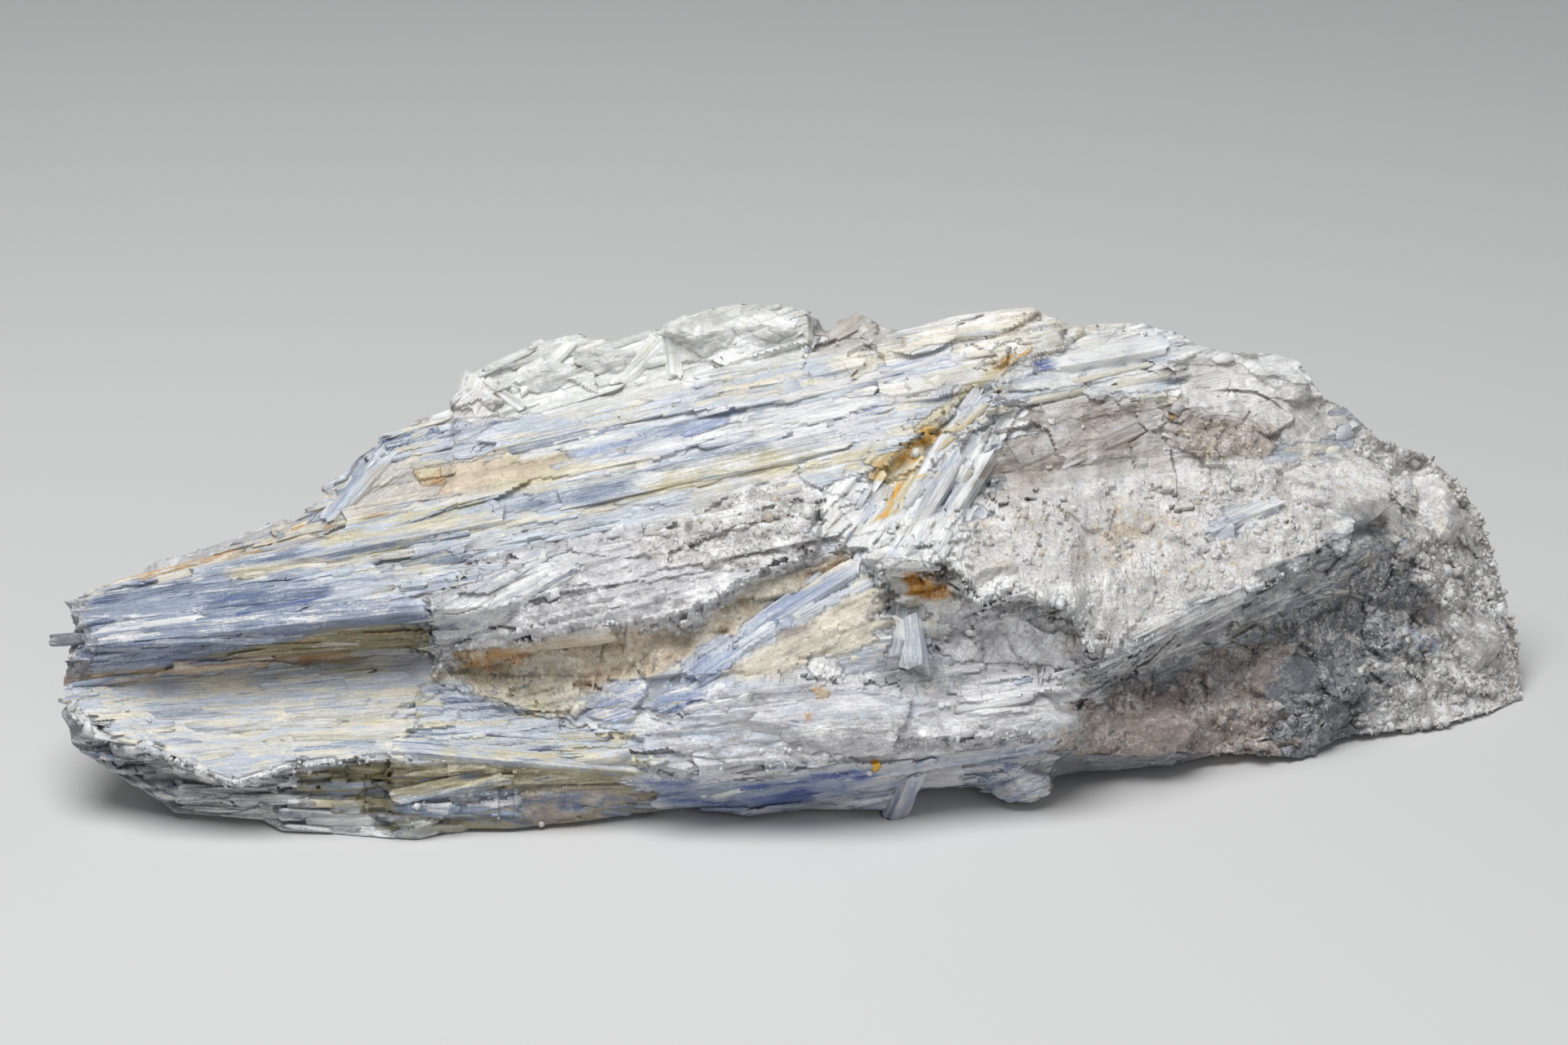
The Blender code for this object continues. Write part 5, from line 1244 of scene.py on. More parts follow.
def look_up(stand, flat):
    """The skin's point at places of the raster, or -1 outside it."""
    cells = np.floor((flat - stand["low"]) / RASTER_CELL).astype(int)
    width, height = stand["raster"].shape
    ok = (cells[..., 0] >= 0) & (cells[..., 1] >= 0) & (cells[..., 0] < width) & (cells[..., 1] < height)
    cells = np.clip(cells, 0, (width - 1, height - 1))
    return np.where(ok, stand["raster"][cells[..., 0], cells[..., 1]], -1)


def thin_blades(side, count, seed):
    """Thin kyanite blades that lie in the skin along its grain. Each is six-sided and flattened, straight,
    with five rings, splintered ends and its own tint: point = middle + along * s + across * a w + face * b
    t."""
    sizes = bpy.context.scene.kyanite_sizes
    stand = footing(side)
    look = stand["look"]
    rng = np.random.default_rng(seed)
    tries = count * 3
    pick = rng.integers(0, len(stand["points"]), tries)
    keep = rng.random(tries) > 2.2 * look["shares"][pick, 2]
    keep &= np.ptp(look["tints"][pick, 0], axis=1) < BLADE_CHROMA
    if side == "front":
        keep &= look["behind"][pick] < 0.5
    pick = pick[keep][:count]
    n = len(pick)
    length = sizes.blade_length / MM * np.exp(rng.normal(0.0, 0.55, n))
    width = sizes.blade_width / MM * np.exp(rng.normal(0.0, 0.45, n))
    granular = look["shares"][pick, 2]
    length *= 1.0 - 0.6 * granular
    angle = look["angle"][pick] + rng.normal(0.0, 0.02 + 0.2 * granular, n)
    where = stand["flat"][pick, :2]
    steps = np.linspace(-0.5, 0.5, 5)
    direction = np.stack([np.cos(angle), np.sin(angle)], -1)
    for _ in range(5):
        places = where[:, None] + direction[:, None] * (length[:, None] * steps)[..., None]
        hit = look_up(stand, places)
        on = stand["points"][np.maximum(hit, 0)]
        middle = on.mean(1)
        slope = np.einsum("nkj,k->nj", on - middle[:, None], steps) / (steps @ steps)
        off = np.linalg.norm(on - middle[:, None] - slope[:, None] * steps[:, None], axis=-1).max(1)
        steep = np.linalg.norm(slope, axis=1) > 1.4 * length + 0.5
        bad = (hit < 0).any(1) | (off > BLADE_STRAIGHTNESS) | steep
        length = np.where(bad, 0.6 * length, length)
    good = ~bad & (length > 1.5)
    pick, length, width, hit = pick[good], length[good], width[good], hit[good]
    n = len(pick)
    on = stand["points"][hit]
    middle = on.mean(1)
    slope = np.einsum("nkj,k->nj", on - middle[:, None], steps)
    along = slope / (np.linalg.norm(slope, axis=1, keepdims=True) + 1e-9)
    face = stand["normal"][hit].mean(1)
    face -= along * (face * along).sum(-1, keepdims=True)
    face /= np.linalg.norm(face, axis=1, keepdims=True) + 1e-9
    across = np.cross(along, face)
    roll = rng.normal(0.0, 0.12, n)[:, None]
    face, across = face * np.cos(roll) + across * np.sin(roll), across * np.cos(roll) - face * np.sin(roll)
    thick = width * rng.uniform(0.35, 0.6, n)
    residual = ((on - middle[:, None]) * face[:, None]).sum(-1).max(1)
    proud = 0.3 * residual + rng.uniform(-0.05, 0.15, n) - 0.5 * thick
    section = np.array(CRYSTAL_SECTION)
    ring = np.array((-0.5, -0.44, 0.0, 0.45, 0.5))
    slim = np.array((0.45, 0.95, 1.0, 0.95, 0.4))
    a = section[:, 0][None, None] * slim[None, :, None] * width[:, None, None]
    b = section[:, 1][None, None] * slim[None, :, None] * thick[:, None, None]
    a = a * rng.uniform(0.85, 1.15, (n, 5, 1))
    s = ring[None, :, None] * length[:, None, None] + np.zeros((n, 5, 6))
    ragged = rng.uniform(-1.1, 1.1, (n, 5, 6)) * np.array((1, 0.5, 0, 0.5, 1))[None, :, None]
    s = s + ragged * np.minimum(width, 0.12 * length)[:, None, None]
    points = (middle + face * proud[:, None])[:, None, None] + along[:, None, None] * s[..., None]
    points = points + across[:, None, None] * a[..., None] + face[:, None, None] * b[..., None]
    flat_points = points.reshape(-1, 3)
    base = (np.arange(n) * 30)[:, None, None]
    k = np.arange(6)
    ahead = (k + 1) % 6
    quads = [np.stack([r * 6 + k, r * 6 + ahead, (r + 1) * 6 + ahead, (r + 1) * 6 + k], -1)
             for r in range(4)]
    quads = (np.concatenate(quads)[None] + base).reshape(-1, 4)
    fans = np.array([(0, 5, 4), (0, 4, 3), (0, 3, 2), (0, 2, 1)])
    far = fans[:, ::-1] + 24
    triangles = (np.concatenate([fans, far])[None] + base).reshape(-1, 3)
    tints = shuffled(look["tints"][pick], rng, 0.3, 0.1, (0.88, 1.1))
    shares = look["shares"][pick]
    grain = np.stack([s, np.broadcast_to(a, s.shape), np.broadcast_to(b, s.shape)], -1).reshape(-1, 3)
    grain = grain + np.repeat(rng.uniform(-500, 500, (n, 3)), 30, axis=0)
    # Lighter broken ends and upper edges, partly real frosty splinters and partly painted highlight, and a darker
    # underside towards the skin, which is painted shade
    wear = np.broadcast_to(np.array((0.9, 0.35, 0.1, 0.35, 0.9))[None, :, None], (n, 5, 6)).copy()
    wear += np.array((0.3, 0.2, 0.2, 0.3, -0.3, -0.3))[None, None]
    repeat = np.repeat(np.arange(n), 30)
    attributes = looks_as_attributes(tints[repeat], shares[repeat], grain, np.clip(wear.ravel(), -1, 1))
    return add_mesh(f"{side}_blades", flat_points, quads, triangles, attributes)


def chip():
    """The eight corners and twelve faces of a cube of radius 1."""
    corners = np.array([(x, y, z) for x in (-1, 1) for y in (-1, 1) for z in (-1, 1)]) / 3.0**0.5
    faces = np.array([(0, 1, 3), (0, 3, 2), (4, 6, 7), (4, 7, 5), (0, 4, 5), (0, 5, 1), (2, 3, 7), (2, 7, 6),
                      (0, 2, 6), (0, 6, 4), (1, 5, 7), (1, 7, 3)])
    return corners, faces


def chips(name, centres, radius, stretch, tints, shares, wear, rng):
    """Broken chips: a cube with uneven corners, stretched and turned: point = centre + turn (corner *
    stretch) r."""
    n = len(centres)
    corners, faces = chip()
    turn = np.linalg.qr(rng.normal(size=(n, 3, 3)))[0]
    turn *= np.sign(np.linalg.det(turn))[:, None, None]
    shape = (corners[None] + rng.normal(0.0, 0.2, (n, 8, 3))) * stretch[:, None]
    body = np.einsum("nij,nkj->nki", turn, shape) * radius[:, None, None]
    points = (centres[:, None] + body).reshape(-1, 3)
    triangles = (faces[None] + (np.arange(n) * 8)[:, None, None]).reshape(-1, 3)
    repeat = np.repeat(np.arange(n), 8)
    attributes = looks_as_attributes(tints[repeat], shares[repeat], points * 1.0, wear[repeat])
    return add_mesh(name, points, np.zeros((0, 4), int), triangles, attributes)


def shuffled(tints, rng, second=0.3, third=0.12, spread=(0.8, 1.15)):
    """The same three colours with another of them first on some pieces, each a little lighter or darker."""
    order = rng.random(len(tints))
    tints = np.where((order < second)[:, None, None], tints[:, [1, 0, 2]], tints)
    tints = np.where((order > 1.0 - third)[:, None, None], tints[:, [2, 0, 1]], tints)
    return np.clip(tints * rng.uniform(*spread, (len(tints), 1, 1)), 0.0, 0.95)


def quartz_grains(side, count, seed):
    """Broken quartz grains on the granular areas, more than half sunk in the skin."""
    sizes = bpy.context.scene.kyanite_sizes
    stand = footing(side)
    look = stand["look"]
    rng = np.random.default_rng(seed)
    pick = rng.integers(0, len(stand["points"]), count * 8)
    keep = rng.random(len(pick)) < look["shares"][pick, 2] ** 5
    pick = pick[keep][:count]
    n = len(pick)
    radius = 0.5 * sizes.grain_size / MM * np.exp(rng.normal(0.0, 0.42, n))
    centres = stand["points"][pick] + stand["normal"][pick] * (radius * rng.uniform(-0.9, -0.2, n))[:, None]
    stretch = rng.uniform(0.55, 1.35, (n, 3))
    wear = np.clip(rng.normal(0.1, 0.35, n), -1, 1)
    tints = shuffled(look["tints"][pick], rng, 0.2, 0.07, (0.92, 1.07))
    return chips(f"{side}_grains", centres, radius, stretch, tints, look["shares"][pick], wear, rng)


def broken_edges(seed):
    """Jagged white chips along the broken edges: they stand at even steps along each line, a little
    scattered."""
    stand = footing("front")
    look = stand["look"]
    rng = np.random.default_rng(seed)
    places = []
    for per_mm, line in EDGES.values():
        line = np.array(line, float)
        run = np.concatenate([[0.0], np.cumsum(np.hypot(*np.diff(line, axis=0).T))])
        t = rng.uniform(0.0, run[-1], int(per_mm * run[-1]))
        places.append(np.stack([np.interp(t, run, line[:, k]) for k in (0, 1)], -1))
    places = np.concatenate(places)
    places += rng.normal(0.0, 0.45, places.shape)
    hit = look_up(stand, places)
    hit = hit[hit >= 0]
    n = len(hit)
    radius = 0.5 * EDGE_CHIP * np.exp(rng.normal(0.0, 0.35, n))
    centres = stand["points"][hit] + stand["normal"][hit] * (radius * rng.uniform(-0.9, 0.0, n))[:, None]
    stretch = rng.uniform(0.5, 1.5, (n, 3))
    colours = bpy.context.scene.kyanite_colours
    # Mostly near-white with a raised level: partly real white splinters, partly painted highlight along the lit
    # broken edges
    frost = np.array([tuple(colours.frost), tuple(colours.pale), tuple(colours.frost)])
    tints = 0.25 * look["tints"][hit] + 0.75 * frost
    return chips("edge_chips", centres, radius, stretch, tints, look["shares"][hit], np.full(n, 0.7), rng)


def mica_flakes(side, count, seed):
    """Thin six-sided mica flakes that shine: two hexagons a twelfth of their width apart."""
    sizes = bpy.context.scene.kyanite_sizes
    stand = footing(side)
    look = stand["look"]
    rng = np.random.default_rng(seed)
    pick = rng.integers(0, len(stand["points"]), count)
    n = len(pick)
    t = np.arange(6) * math.pi / 3
    hexagon = np.stack([np.cos(t), np.sin(t), np.zeros(6)], -1)
    corners = np.concatenate([hexagon - (0, 0, 0.08), hexagon + (0, 0, 0.08)])
    k = np.arange(6)
    quads = np.stack([k, (k + 1) % 6, (k + 1) % 6 + 6, k + 6], -1)
    fans = np.array([(0, 5, 4), (0, 4, 3), (0, 3, 2), (0, 2, 1)])
    triangles = np.concatenate([fans, fans[:, ::-1] + 6])
    radius = 0.5 * sizes.flake_size / MM * np.exp(rng.normal(0.0, 0.4, n))
    face = stand["normal"][pick] + rng.normal(0.0, 0.2, (n, 3))
    face /= np.linalg.norm(face, axis=1, keepdims=True)
    side_way = np.cross(face, rng.normal(size=(n, 3)))
    side_way /= np.linalg.norm(side_way, axis=1, keepdims=True)
    turn = np.stack([side_way, np.cross(face, side_way), face], -1)
    body = np.einsum("nij,kj->nki", turn, corners) * radius[:, None, None]
    centre = stand["points"][pick] + stand["normal"][pick] * rng.uniform(0.05, 0.3, (n, 1))
    points = (centre[:, None] + body).reshape(-1, 3)
    base = (np.arange(n) * 12)[:, None, None]
    quads = (quads[None] + base).reshape(-1, 4)
    triangles = (triangles[None] + base).reshape(-1, 3)
    # Near-white and raised in level: partly the flakes' own silvery colour, partly painted glint
    frost = np.array(tuple(bpy.context.scene.kyanite_colours.frost))
    repeat = np.repeat(np.arange(n), 12)
    tints = 0.35 * look["tints"][pick] + 0.65 * frost
    attributes = looks_as_attributes(
        tints[repeat], look["shares"][pick][repeat], points * 1.0, np.full(len(points), 0.8))
    return add_mesh(f"{side}_flakes", points, quads, triangles, attributes)


def skin_depth(across, up):
    """How near the front the skin is at a seen place, with its relief."""
    stand = footing("front")
    hit = look_up(stand, np.array((across, up)))
    if hit < 0:
        flat = stand["flat"]
        hit = np.argmin((flat[:, 0] - across) ** 2 + (flat[:, 1] - up) ** 2)
    return stand["flat"][hit, 2]


def large_crystal(start, end, width, thickness, proud, roll, seed):
    """One flat-sided crystal: its six-cornered section is carried from start to end, striated along its
    length and broken at both ends. point = start + along s + across a w + face b t, with a, b swollen by the
    striae."""
    _, up, toward = eye_axes()
    ends = []
    for across_, height in (start, end):
        near = skin_depth(across_, height) + proud - 0.5 * thickness
        ends.append(from_seen((across_, height, near)))
    start, end = ends
    reach = np.linalg.norm(end - start)
    along = (end - start) / reach
    side = toward + CRYSTAL_UPWARD_LEAN * up
    face = side - along * (side @ along)
    face /= np.linalg.norm(face)
    across = np.cross(along, face)
    c, s = math.cos(math.radians(roll)), math.sin(math.radians(roll))
    face, across = face * c + across * s, across * c - face * s
    turn = np.linspace(0.0, 6.0, CRYSTAL_ROUND, endpoint=False)
    closed = np.array(CRYSTAL_SECTION + CRYSTAL_SECTION[:1])
    section = np.stack([np.interp(turn, np.arange(7), closed[:, j]) for j in (0, 1)], -1)
    share = 0.5 - 0.5 * np.cos(np.linspace(0.0, math.pi, CRYSTAL_RINGS))
    grid = np.stack(np.broadcast_arrays(
        share[:, None] * reach, section[None, :, 0] * width, section[None, :, 1] * thickness), -1)
    local = grid.reshape(-1, 3).copy()
    striae = 0.30 * packed(local, (14.0, 1.0, 1.0), seed) + 0.16 * packed(local, (4.0, 0.45, 0.45), seed + 10)
    size = np.linalg.norm(local[:, 1:], axis=1, keepdims=True)
    local[:, 1:] += local[:, 1:] / (size + 1e-6) * np.minimum(striae, 0.5)[:, None]
    to_end = np.minimum(share, 1.0 - share)[:, None] * reach * np.ones(CRYSTAL_ROUND)
    break_ = smooth(1.0 - to_end.ravel() / (1.2 * width))
    local[:, 0] += break_ * width * 0.3 * facets(local * (0, 1, 1), (1.0, width / 3, thickness / 3), seed + 20)
    points = start + local @ np.stack([along, across, face])
    tips = np.stack([points[:CRYSTAL_ROUND].mean(0), points[-CRYSTAL_ROUND:].mean(0)])
    all_points = np.concatenate([points, tips])
    count = CRYSTAL_RINGS * CRYSTAL_ROUND
    quads, triangles = rows_of((CRYSTAL_RINGS, CRYSTAL_ROUND), (count, count + 1))
    look = paint(all_points, np.full(len(all_points), 3.0))
    grain = np.concatenate([local, local[:1], local[-1:]]) + np.array((seed * 3.7, seed * 1.3, 0.0))
    # Raised striae and the broken ends are made lighter and the grooves between the striae darker: painted
    # highlight and painted shade, with some real frost at the breaks
    wear = np.concatenate([np.clip(striae * 1.6 + 0.8 * break_, -1, 1), [0.8, 0.8]])
    shares = look["shares"].copy()
    shares[:, 2] *= 0.5
    return all_points, quads, triangles, look["tints"], shares, grain, wear


def gather(name, parts, sharp=None):
    """Several closed shapes as one mesh."""
    points, quads, triangles, attributes = [], [], [], []
    start = 0
    for part_points, part_quads, part_triangles, *rest in parts:
        points.append(part_points)
        quads.append(part_quads + start)
        triangles.append(part_triangles + start)
        attributes.append(rest)
        start += len(part_points)
    joined = [np.concatenate([a[k] for a in attributes]) for k in range(4)]
    return add_mesh(name, np.concatenate(points), np.concatenate(quads), np.concatenate(triangles),
                    looks_as_attributes(*joined), sharp)


def lump(centre, half_sizes, seed):
    """A broken lump: the ball's radius in each direction is cut by flat planes, r = min over k of h / (d .
    n), and then roughened."""
    rng = np.random.default_rng(seed)
    theta = np.linspace(0.0, math.pi, LUMP_RINGS + 2)[1:-1]
    phi = np.linspace(0.0, 2.0 * math.pi, LUMP_ROUND, endpoint=False)
    t, f = np.meshgrid(theta, phi, indexing="ij")
    d = np.stack([np.sin(t) * np.cos(f), np.cos(t), np.sin(t) * np.sin(f)], -1).reshape(-1, 3)
    d = np.concatenate([d, [(0, 1, 0), (0, -1, 0)]])
    normals = rng.normal(size=(LUMP_PLANES, 3))
    normals /= np.linalg.norm(normals, axis=1, keepdims=True)
    heights = rng.uniform(0.6, 0.98, LUMP_PLANES)
    facing = d @ normals.T
    radius = np.where(facing > 0.05, heights / np.maximum(facing, 0.05), 9.0).min(1)
    radius = np.minimum(radius, 1.15)
    right, up, toward = eye_axes()
    axes = np.stack([right * half_sizes[0], toward * half_sizes[2], up * half_sizes[1]])
    points = centre + (d * radius[:, None]) @ axes
    rough = sum(height * packed(points - PLANE_CENTRE, cell, seed + 10 * k)
                for k, (cell, height) in enumerate(LUMP_ROUGH))
    points = points + d @ np.stack([right, toward, up]) * rough[:, None]
    count = LUMP_RINGS * LUMP_ROUND
    quads, triangles = rows_of((LUMP_RINGS, LUMP_ROUND), (count, count + 1))
    look = paint(points, np.full(len(points), 3.0))
    grain = grain_coordinates(points, look)
    # The roughness goes to the material too: raised bits lighter and hollows darker, painted highlight and painted
    # shade
    return points, quads, triangles, look["tints"], look["shares"], grain, np.clip(rough * 2.2, -1, 1)


def add_node(tree, kind, inputs=None, **settings):
    """Adds one node: settings are its own properties, and inputs maps a socket to a value or to the output
    that feeds it."""
    node = tree.nodes.new(kind)
    for key, value in settings.items():
        setattr(node, key, value)
    for socket, value in (inputs or {}).items():
        if isinstance(value, bpy.types.NodeSocket):
            tree.links.new(value, node.inputs[socket])
        else:
            node.inputs[socket].default_value = value
    return node


@functools.lru_cache(maxsize=1)
def stone_material():
    """Kyanite, cleaved and splintered, with granular quartz: pearly and streaked along the blades, sugary and
    dull where it is granular. Streaks are 1 to 3 mm wide and 20 to 30 mm long, striae 0.3 mm, and sugar
    grains 0.5 mm."""
    material = bpy.data.materials.new("kyanite_with_quartz")
    material.use_nodes = True
    tree = material.node_tree
    shader = tree.nodes["Principled BSDF"]

    def attribute(name):
        return add_node(tree, "ShaderNodeAttribute", attribute_name=name)

    def noise(vector, scale, detail, rough, shift=(0.0, 0.0, 0.0)):
        mapped = add_node(tree, "ShaderNodeMapping", {"Vector": vector, "Scale": scale, "Location": shift})
        made = add_node(tree, "ShaderNodeTexNoise", {
            "Vector": mapped.outputs[0], "Scale": 1.0, "Detail": detail, "Roughness": rough})
        return made.outputs["Fac"]

    def mix(factor, low, high, kind="FLOAT", blend="MIX"):
        node = add_node(tree, "ShaderNodeMix", data_type=kind)
        first = {"FLOAT": 2, "RGBA": 6}[kind]
        if kind == "RGBA":
            node.blend_type = blend
        for socket, value in ((0, factor), (first, low), (first + 1, high)):
            if isinstance(value, bpy.types.NodeSocket):
                tree.links.new(value, node.inputs[socket])
            else:
                node.inputs[socket].default_value = value
        return node.outputs[{"FLOAT": 0, "RGBA": 2}[kind]]

    def span(value, low, high, to_low, to_high):
        node = add_node(tree, "ShaderNodeMapRange", {
            "Value": value, "From Min": low, "From Max": high, "To Min": to_low, "To Max": to_high})
        return node.outputs[0]

    grain = attribute("grain").outputs["Vector"]
    shares = add_node(tree, "ShaderNodeSeparateXYZ", {"Vector": attribute("shares").outputs["Vector"]})
    second, third, granular = shares.outputs[0], shares.outputs[1], shares.outputs[2]
    # The relief attribute: a random tone on the quartz grains, and elsewhere the height of the relief, which
    # lightens ridges and darkens hollows as painted highlight and painted shade
    wear = attribute("wear").outputs["Fac"]
    where = add_node(tree, "ShaderNodeTexCoord").outputs["Object"]
    place = add_node(tree, "ShaderNodeMapping", {"Vector": where, "Scale": (1 / MM,) * 3}).outputs[0]

    clouds = noise(place, (1 / 9.0,) * 3, 3.0, 0.6, (5, 50, 5))
    streaks = mix(
        granular, noise(grain, (1 / 17, 1 / 1.5, 1 / 4), 8.0, 0.70), noise(place, (1 / 2.6,) * 3, 8.0, 0.70))
    marks = mix(granular, noise(grain, (1 / 9, 1 / 1.0, 1 / 3), 8.0, 0.72, (70, 30, 10)),
                noise(place, (1 / 1.5,) * 3, 8.0, 0.70, (40, 10, 5)))
    sugar = noise(place, (1 / 0.42,) * 3, 5.0, 0.72, (9, 9, 9))
    fibres = noise(grain, (1 / 4.0, 1 / 0.30, 1 / 0.8), 5.0, 0.7, (15, 80, 10))
    fine = mix(span(granular, 0.0, 1.0, 0.42, 1.0), fibres, sugar)
    for part, weight in ((clouds, 0.45), (fine, 0.35)):
        part = add_node(
            tree, "ShaderNodeMath", {0: part, 1: weight, 2: streaks}, operation="MULTIPLY_ADD").outputs[0]
        streaks = add_node(tree, "ShaderNodeMath", {0: part, 1: weight / 2}, operation="SUBTRACT").outputs[0]
    cracks = add_node(tree, "ShaderNodeTexVoronoi", {
        "Vector": add_node(tree, "ShaderNodeMapping", {
            "Vector": grain, "Scale": (1 / 11, 1 / 2.6, 1 / 4)}).outputs[0],
        "Scale": 1.0}, feature="DISTANCE_TO_EDGE").outputs["Distance"]

    def chosen(pattern, share, crisp):
        """Picks a colour where the pattern lies above a cut that leaves it about this share of the
        surface."""
        cut = span(share, 0.0, 1.0, 0.70, 0.30)
        above = add_node(tree, "ShaderNodeMath", {0: pattern, 1: cut}, operation="SUBTRACT").outputs[0]
        return span(above, -crisp, crisp, 0.0, 1.0)

    colour = mix(chosen(streaks, second, 0.055), attribute("tint_a").outputs["Color"],
                 attribute("tint_b").outputs["Color"], "RGBA")
    colour = mix(chosen(marks, third, 0.045), colour, attribute("tint_c").outputs["Color"], "RGBA")
    shade = span(fine, 0.30, 0.70, 0.68, 1.30)
    # Painted shade and painted highlight: the colour is darker where the relief attribute is low and lighter where
    # it is high
    painted_relief_shade = span(wear, -1.0, 1.0, 0.76, 1.16)
    split = span(cracks, 0.0, 0.025, 0.82, 1.0)
    level = add_node(tree, "ShaderNodeMath", {0: shade, 1: painted_relief_shade}, operation="MULTIPLY").outputs[0]
    level = add_node(tree, "ShaderNodeMath", {0: level, 1: split}, operation="MULTIPLY").outputs[0]
    colour = add_node(tree, "ShaderNodeVectorMath", {0: colour, "Scale": level}, operation="SCALE").outputs[0]
    # Raised places are mixed towards near-white frost: partly real frost of the splinters, partly painted
    # highlight
    raised = add_node(
        tree, "ShaderNodeMath", {0: wear, 1: 0.12, 2: fine}, operation="MULTIPLY_ADD").outputs[0]
    frost_and_highlight = span(raised, 0.55, 0.70, 0.0, FROST_AND_HIGHLIGHT_SHARE)
    colour = mix(frost_and_highlight, colour, (*bpy.context.scene.kyanite_colours.frost, 1.0), "RGBA")
    tree.links.new(colour, shader.inputs["Base Color"])

    striae = mix(granular, noise(grain, (1 / 12, 1 / 0.5, 1 / 1.2), 4.0, 0.65, (33, 3, 3)),
                 noise(place, (1 / 0.9,) * 3, 4.0, 0.65, (3, 33, 3)))
    bump = add_node(tree, "ShaderNodeBump", {"Strength": 0.9, "Distance": 0.0005, "Height": striae})
    finer = add_node(tree, "ShaderNodeBump", {
        "Strength": 0.7, "Distance": 0.0002, "Height": fine, "Normal": bump.outputs[0]})
    tree.links.new(finer.outputs[0], shader.inputs["Normal"])
    gloss = mix(granular, span(fine, 0.3, 0.7, 0.58, 0.30), span(fine, 0.3, 0.7, 0.75, 0.45))
    tree.links.new(gloss, shader.inputs["Roughness"])
    shader.inputs["IOR"].default_value = 1.7
    shader.inputs["Subsurface Weight"].default_value = 0.25
    shader.inputs["Subsurface Radius"].default_value = (1.0, 0.9, 0.8)
    shader.inputs["Subsurface Scale"].default_value = 0.0012
    shader.inputs["Specular IOR Level"].default_value = 0.45
    return material


class SPECIMEN_OT_mass(bpy.types.Operator):
    """Builds the four parts of the mass"""
    bl_idname = "specimen.mass"
    bl_label = "Mass"

    def execute(self, context):
        for name in PARTS:
            part_mesh(name)
        return {"FINISHED"}


class SPECIMEN_OT_crystals(bpy.types.Operator):
    """Builds the large single crystals of the front"""
    bl_idname = "specimen.crystals"
    bl_label = "Large crystals"

    def execute(self, context):
        parts = [large_crystal(*facts, CRYSTAL_SEED + 40 * k) for k, facts in enumerate(CRYSTALS.values())]
        gather("large_crystals", parts, sharp=30)
        return {"FINISHED"}


class SPECIMEN_OT_lumps(bpy.types.Operator):
    """Builds the angular lumps of the front"""
    bl_idname = "specimen.lumps"
    bl_label = "Lumps"

    def execute(self, context):
        parts = []
        for k, (centre, *half_sizes) in enumerate(LUMPS.values()):
            near = skin_depth(*centre) - LUMP_SINK * half_sizes[2]
            parts.append(lump(from_seen((*centre, near)), half_sizes, CRYSTAL_SEED + 2000 + k))
        gather("lumps", parts, sharp=30)
        return {"FINISHED"}


class SPECIMEN_OT_blades(bpy.types.Operator):
    """Builds the thin kyanite blades"""
    bl_idname = "specimen.blades"
    bl_label = "Thin blades"

    def execute(self, context):
        sizes = context.scene.kyanite_sizes
        thin_blades("front", sizes.front_blades, 11)
        thin_blades("back", sizes.back_blades, 12)
        return {"FINISHED"}


class SPECIMEN_OT_grains(bpy.types.Operator):
    """Builds the quartz grains"""
    bl_idname = "specimen.grains"
    bl_label = "Quartz grains"

    def execute(self, context):
        count = context.scene.kyanite_sizes.grains
        quartz_grains("front", count, 21)
        quartz_grains("back", count // 3, 22)
        broken_edges(23)
        return {"FINISHED"}


class SPECIMEN_OT_flakes(bpy.types.Operator):
    """Builds the mica flakes"""
    bl_idname = "specimen.flakes"
    bl_label = "Mica flakes"

    def execute(self, context):
        mica_flakes("front", context.scene.kyanite_sizes.flakes, 31)
        return {"FINISHED"}


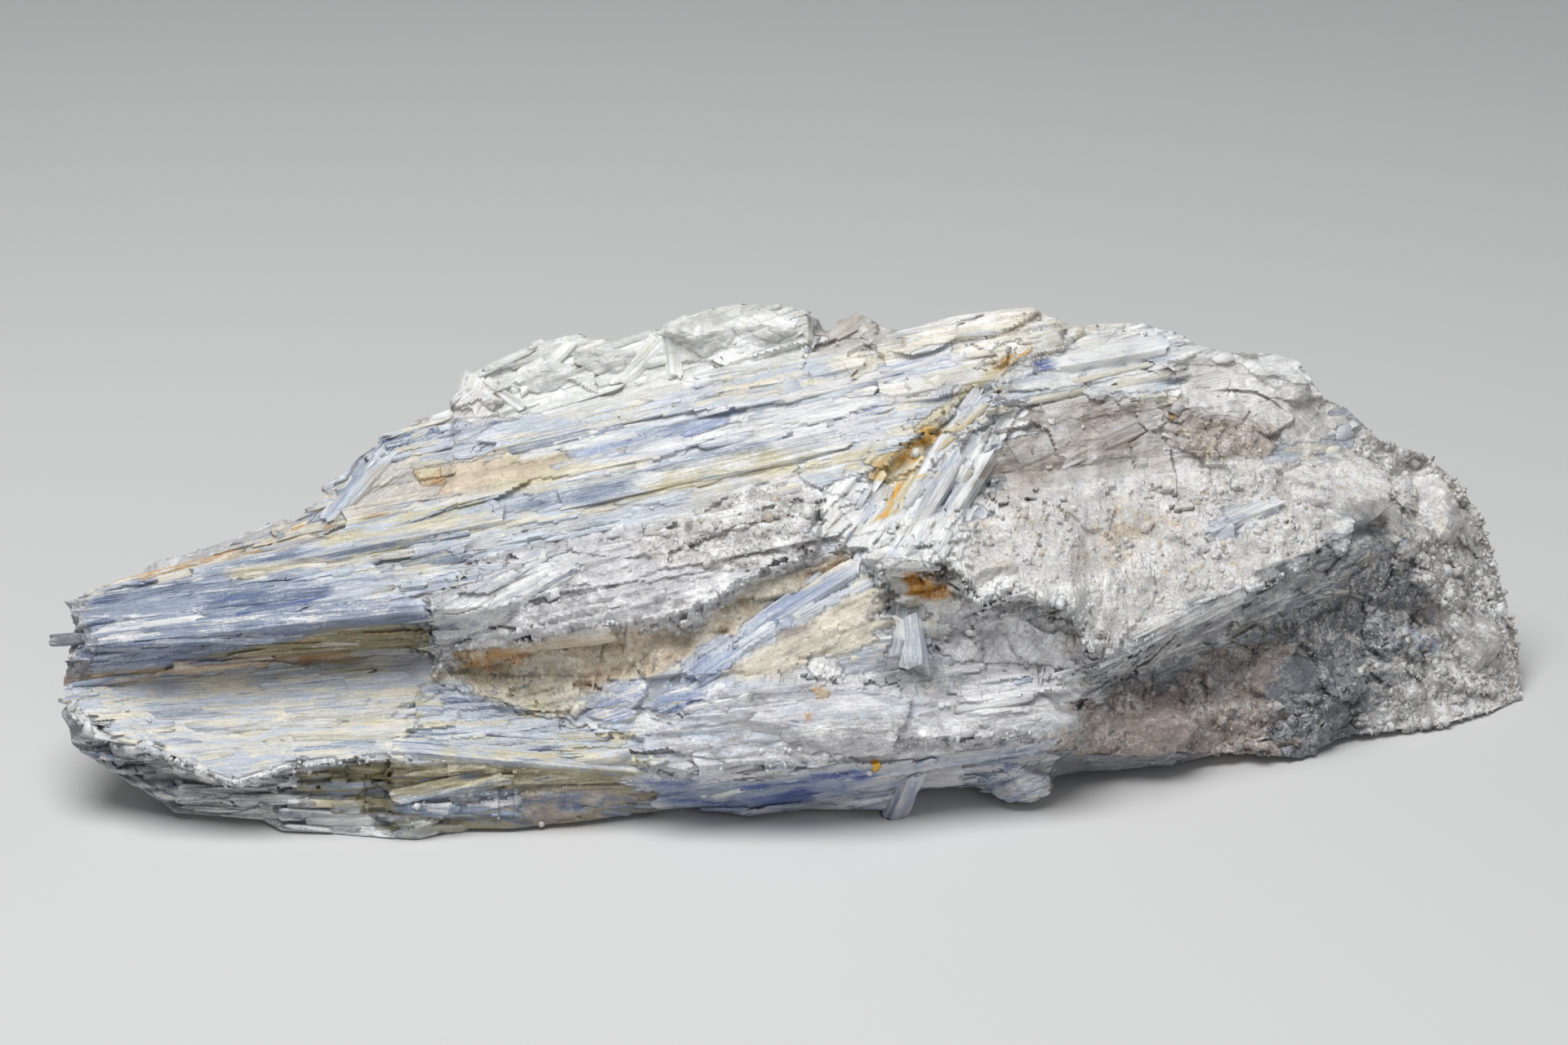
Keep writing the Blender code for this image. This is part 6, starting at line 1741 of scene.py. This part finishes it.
class SPECIMEN_OT_stage(bpy.types.Operator):
    """Sets the floor, the lights and the camera"""
    bl_idname = "specimen.stage"
    bl_label = "Stage"

    def execute(self, context):
        settings = context.scene.kyanite_stage
        mesh = bpy.data.meshes.new("floor")
        mesh.from_pydata([(-3, -3, 0), (3, -3, 0), (3, 3, 0), (-3, 3, 0)], [], [(0, 1, 2, 3)])
        floor = bpy.data.objects.new("floor", mesh)
        material = bpy.data.materials.new("floor_paper")
        material.use_nodes = True
        shader = material.node_tree.nodes["Principled BSDF"]
        shader.inputs["Base Color"].default_value = (*settings.floor, 1.0)
        shader.inputs["Roughness"].default_value = 0.85
        mesh.materials.append(material)
        context.scene.collection.objects.link(floor)
        floor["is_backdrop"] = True
        target = Vector((0.0, 0.0, 0.03))
        for name, place, size, power in (
                ("key", (-0.12, -0.18, 0.75), 0.55, settings.key),
                ("fill", (0.25, -0.85, 0.35), 0.6, settings.fill)):
            lamp = bpy.data.lights.new(name, "AREA")
            lamp.shape = "DISK"
            lamp.size = size
            lamp.energy = power
            light = bpy.data.objects.new(name, lamp)
            light.location = place
            light.rotation_euler = (target - Vector(place)).to_track_quat("-Z", "Y").to_euler()
            context.scene.collection.objects.link(light)
        world = bpy.data.worlds.new("studio")
        world.use_nodes = True
        world.node_tree.nodes["Background"].inputs["Color"].default_value = (0.93, 0.96, 1.0, 1.0)
        world.node_tree.nodes["Background"].inputs["Strength"].default_value = settings.sky
        context.scene.world = world
        context.scene.view_settings.view_transform = "Standard"
        right, up, toward = (Vector(axis) for axis in eye_axes())
        data = bpy.data.cameras.new("camera")
        data.sensor_width = SENSOR
        data.lens = SENSOR * EYE_DISTANCE / PICTURE_WIDTH
        data.clip_start = 0.01
        camera = bpy.data.objects.new("camera", data)
        place = (Vector(PLANE_CENTRE) + toward * EYE_DISTANCE) * MM
        camera.matrix_world = Matrix.Translation(place) @ Matrix((right, up, toward)).transposed().to_4x4()
        context.scene.collection.objects.link(camera)
        context.scene.camera = camera
        return {"FINISHED"}


OPERATORS = (SPECIMEN_OT_mass, SPECIMEN_OT_crystals, SPECIMEN_OT_lumps, SPECIMEN_OT_blades,
             SPECIMEN_OT_grains,
             SPECIMEN_OT_flakes, SPECIMEN_OT_stage)


class SPECIMEN_PT_panel(bpy.types.Panel):
    """Lists the settings and the pieces of the specimen"""
    bl_idname = "SPECIMEN_PT_panel"
    bl_label = "Kyanite specimen"
    bl_space_type = "VIEW_3D"
    bl_region_type = "UI"
    bl_category = "Kyanite"

    def draw(self, context):
        layout = self.layout
        scene = context.scene
        for settings in (scene.kyanite_sizes, scene.kyanite_colours, scene.kyanite_stage):
            for key in settings.__annotations__:
                layout.prop(settings, key)
        for operator in OPERATORS:
            layout.operator(operator.bl_idname)


CLASSES = (KyaniteColours, KyaniteSizes, KyaniteStage, *OPERATORS, SPECIMEN_PT_panel)


def register():
    for cls in CLASSES:
        bpy.utils.register_class(cls)
    bpy.types.Scene.kyanite_colours = bpy.props.PointerProperty(type=KyaniteColours)
    bpy.types.Scene.kyanite_sizes = bpy.props.PointerProperty(type=KyaniteSizes)
    bpy.types.Scene.kyanite_stage = bpy.props.PointerProperty(type=KyaniteStage)


def unregister():
    del bpy.types.Scene.kyanite_stage
    del bpy.types.Scene.kyanite_sizes
    del bpy.types.Scene.kyanite_colours
    for cls in reversed(CLASSES):
        bpy.utils.unregister_class(cls)


def main():
    register()
    bpy.ops.specimen.stage()
    bpy.ops.specimen.mass()
    bpy.ops.specimen.crystals()
    bpy.ops.specimen.lumps()
    bpy.ops.specimen.blades()
    bpy.ops.specimen.grains()
    bpy.ops.specimen.flakes()
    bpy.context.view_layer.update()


if __name__ == "__main__":
    main()
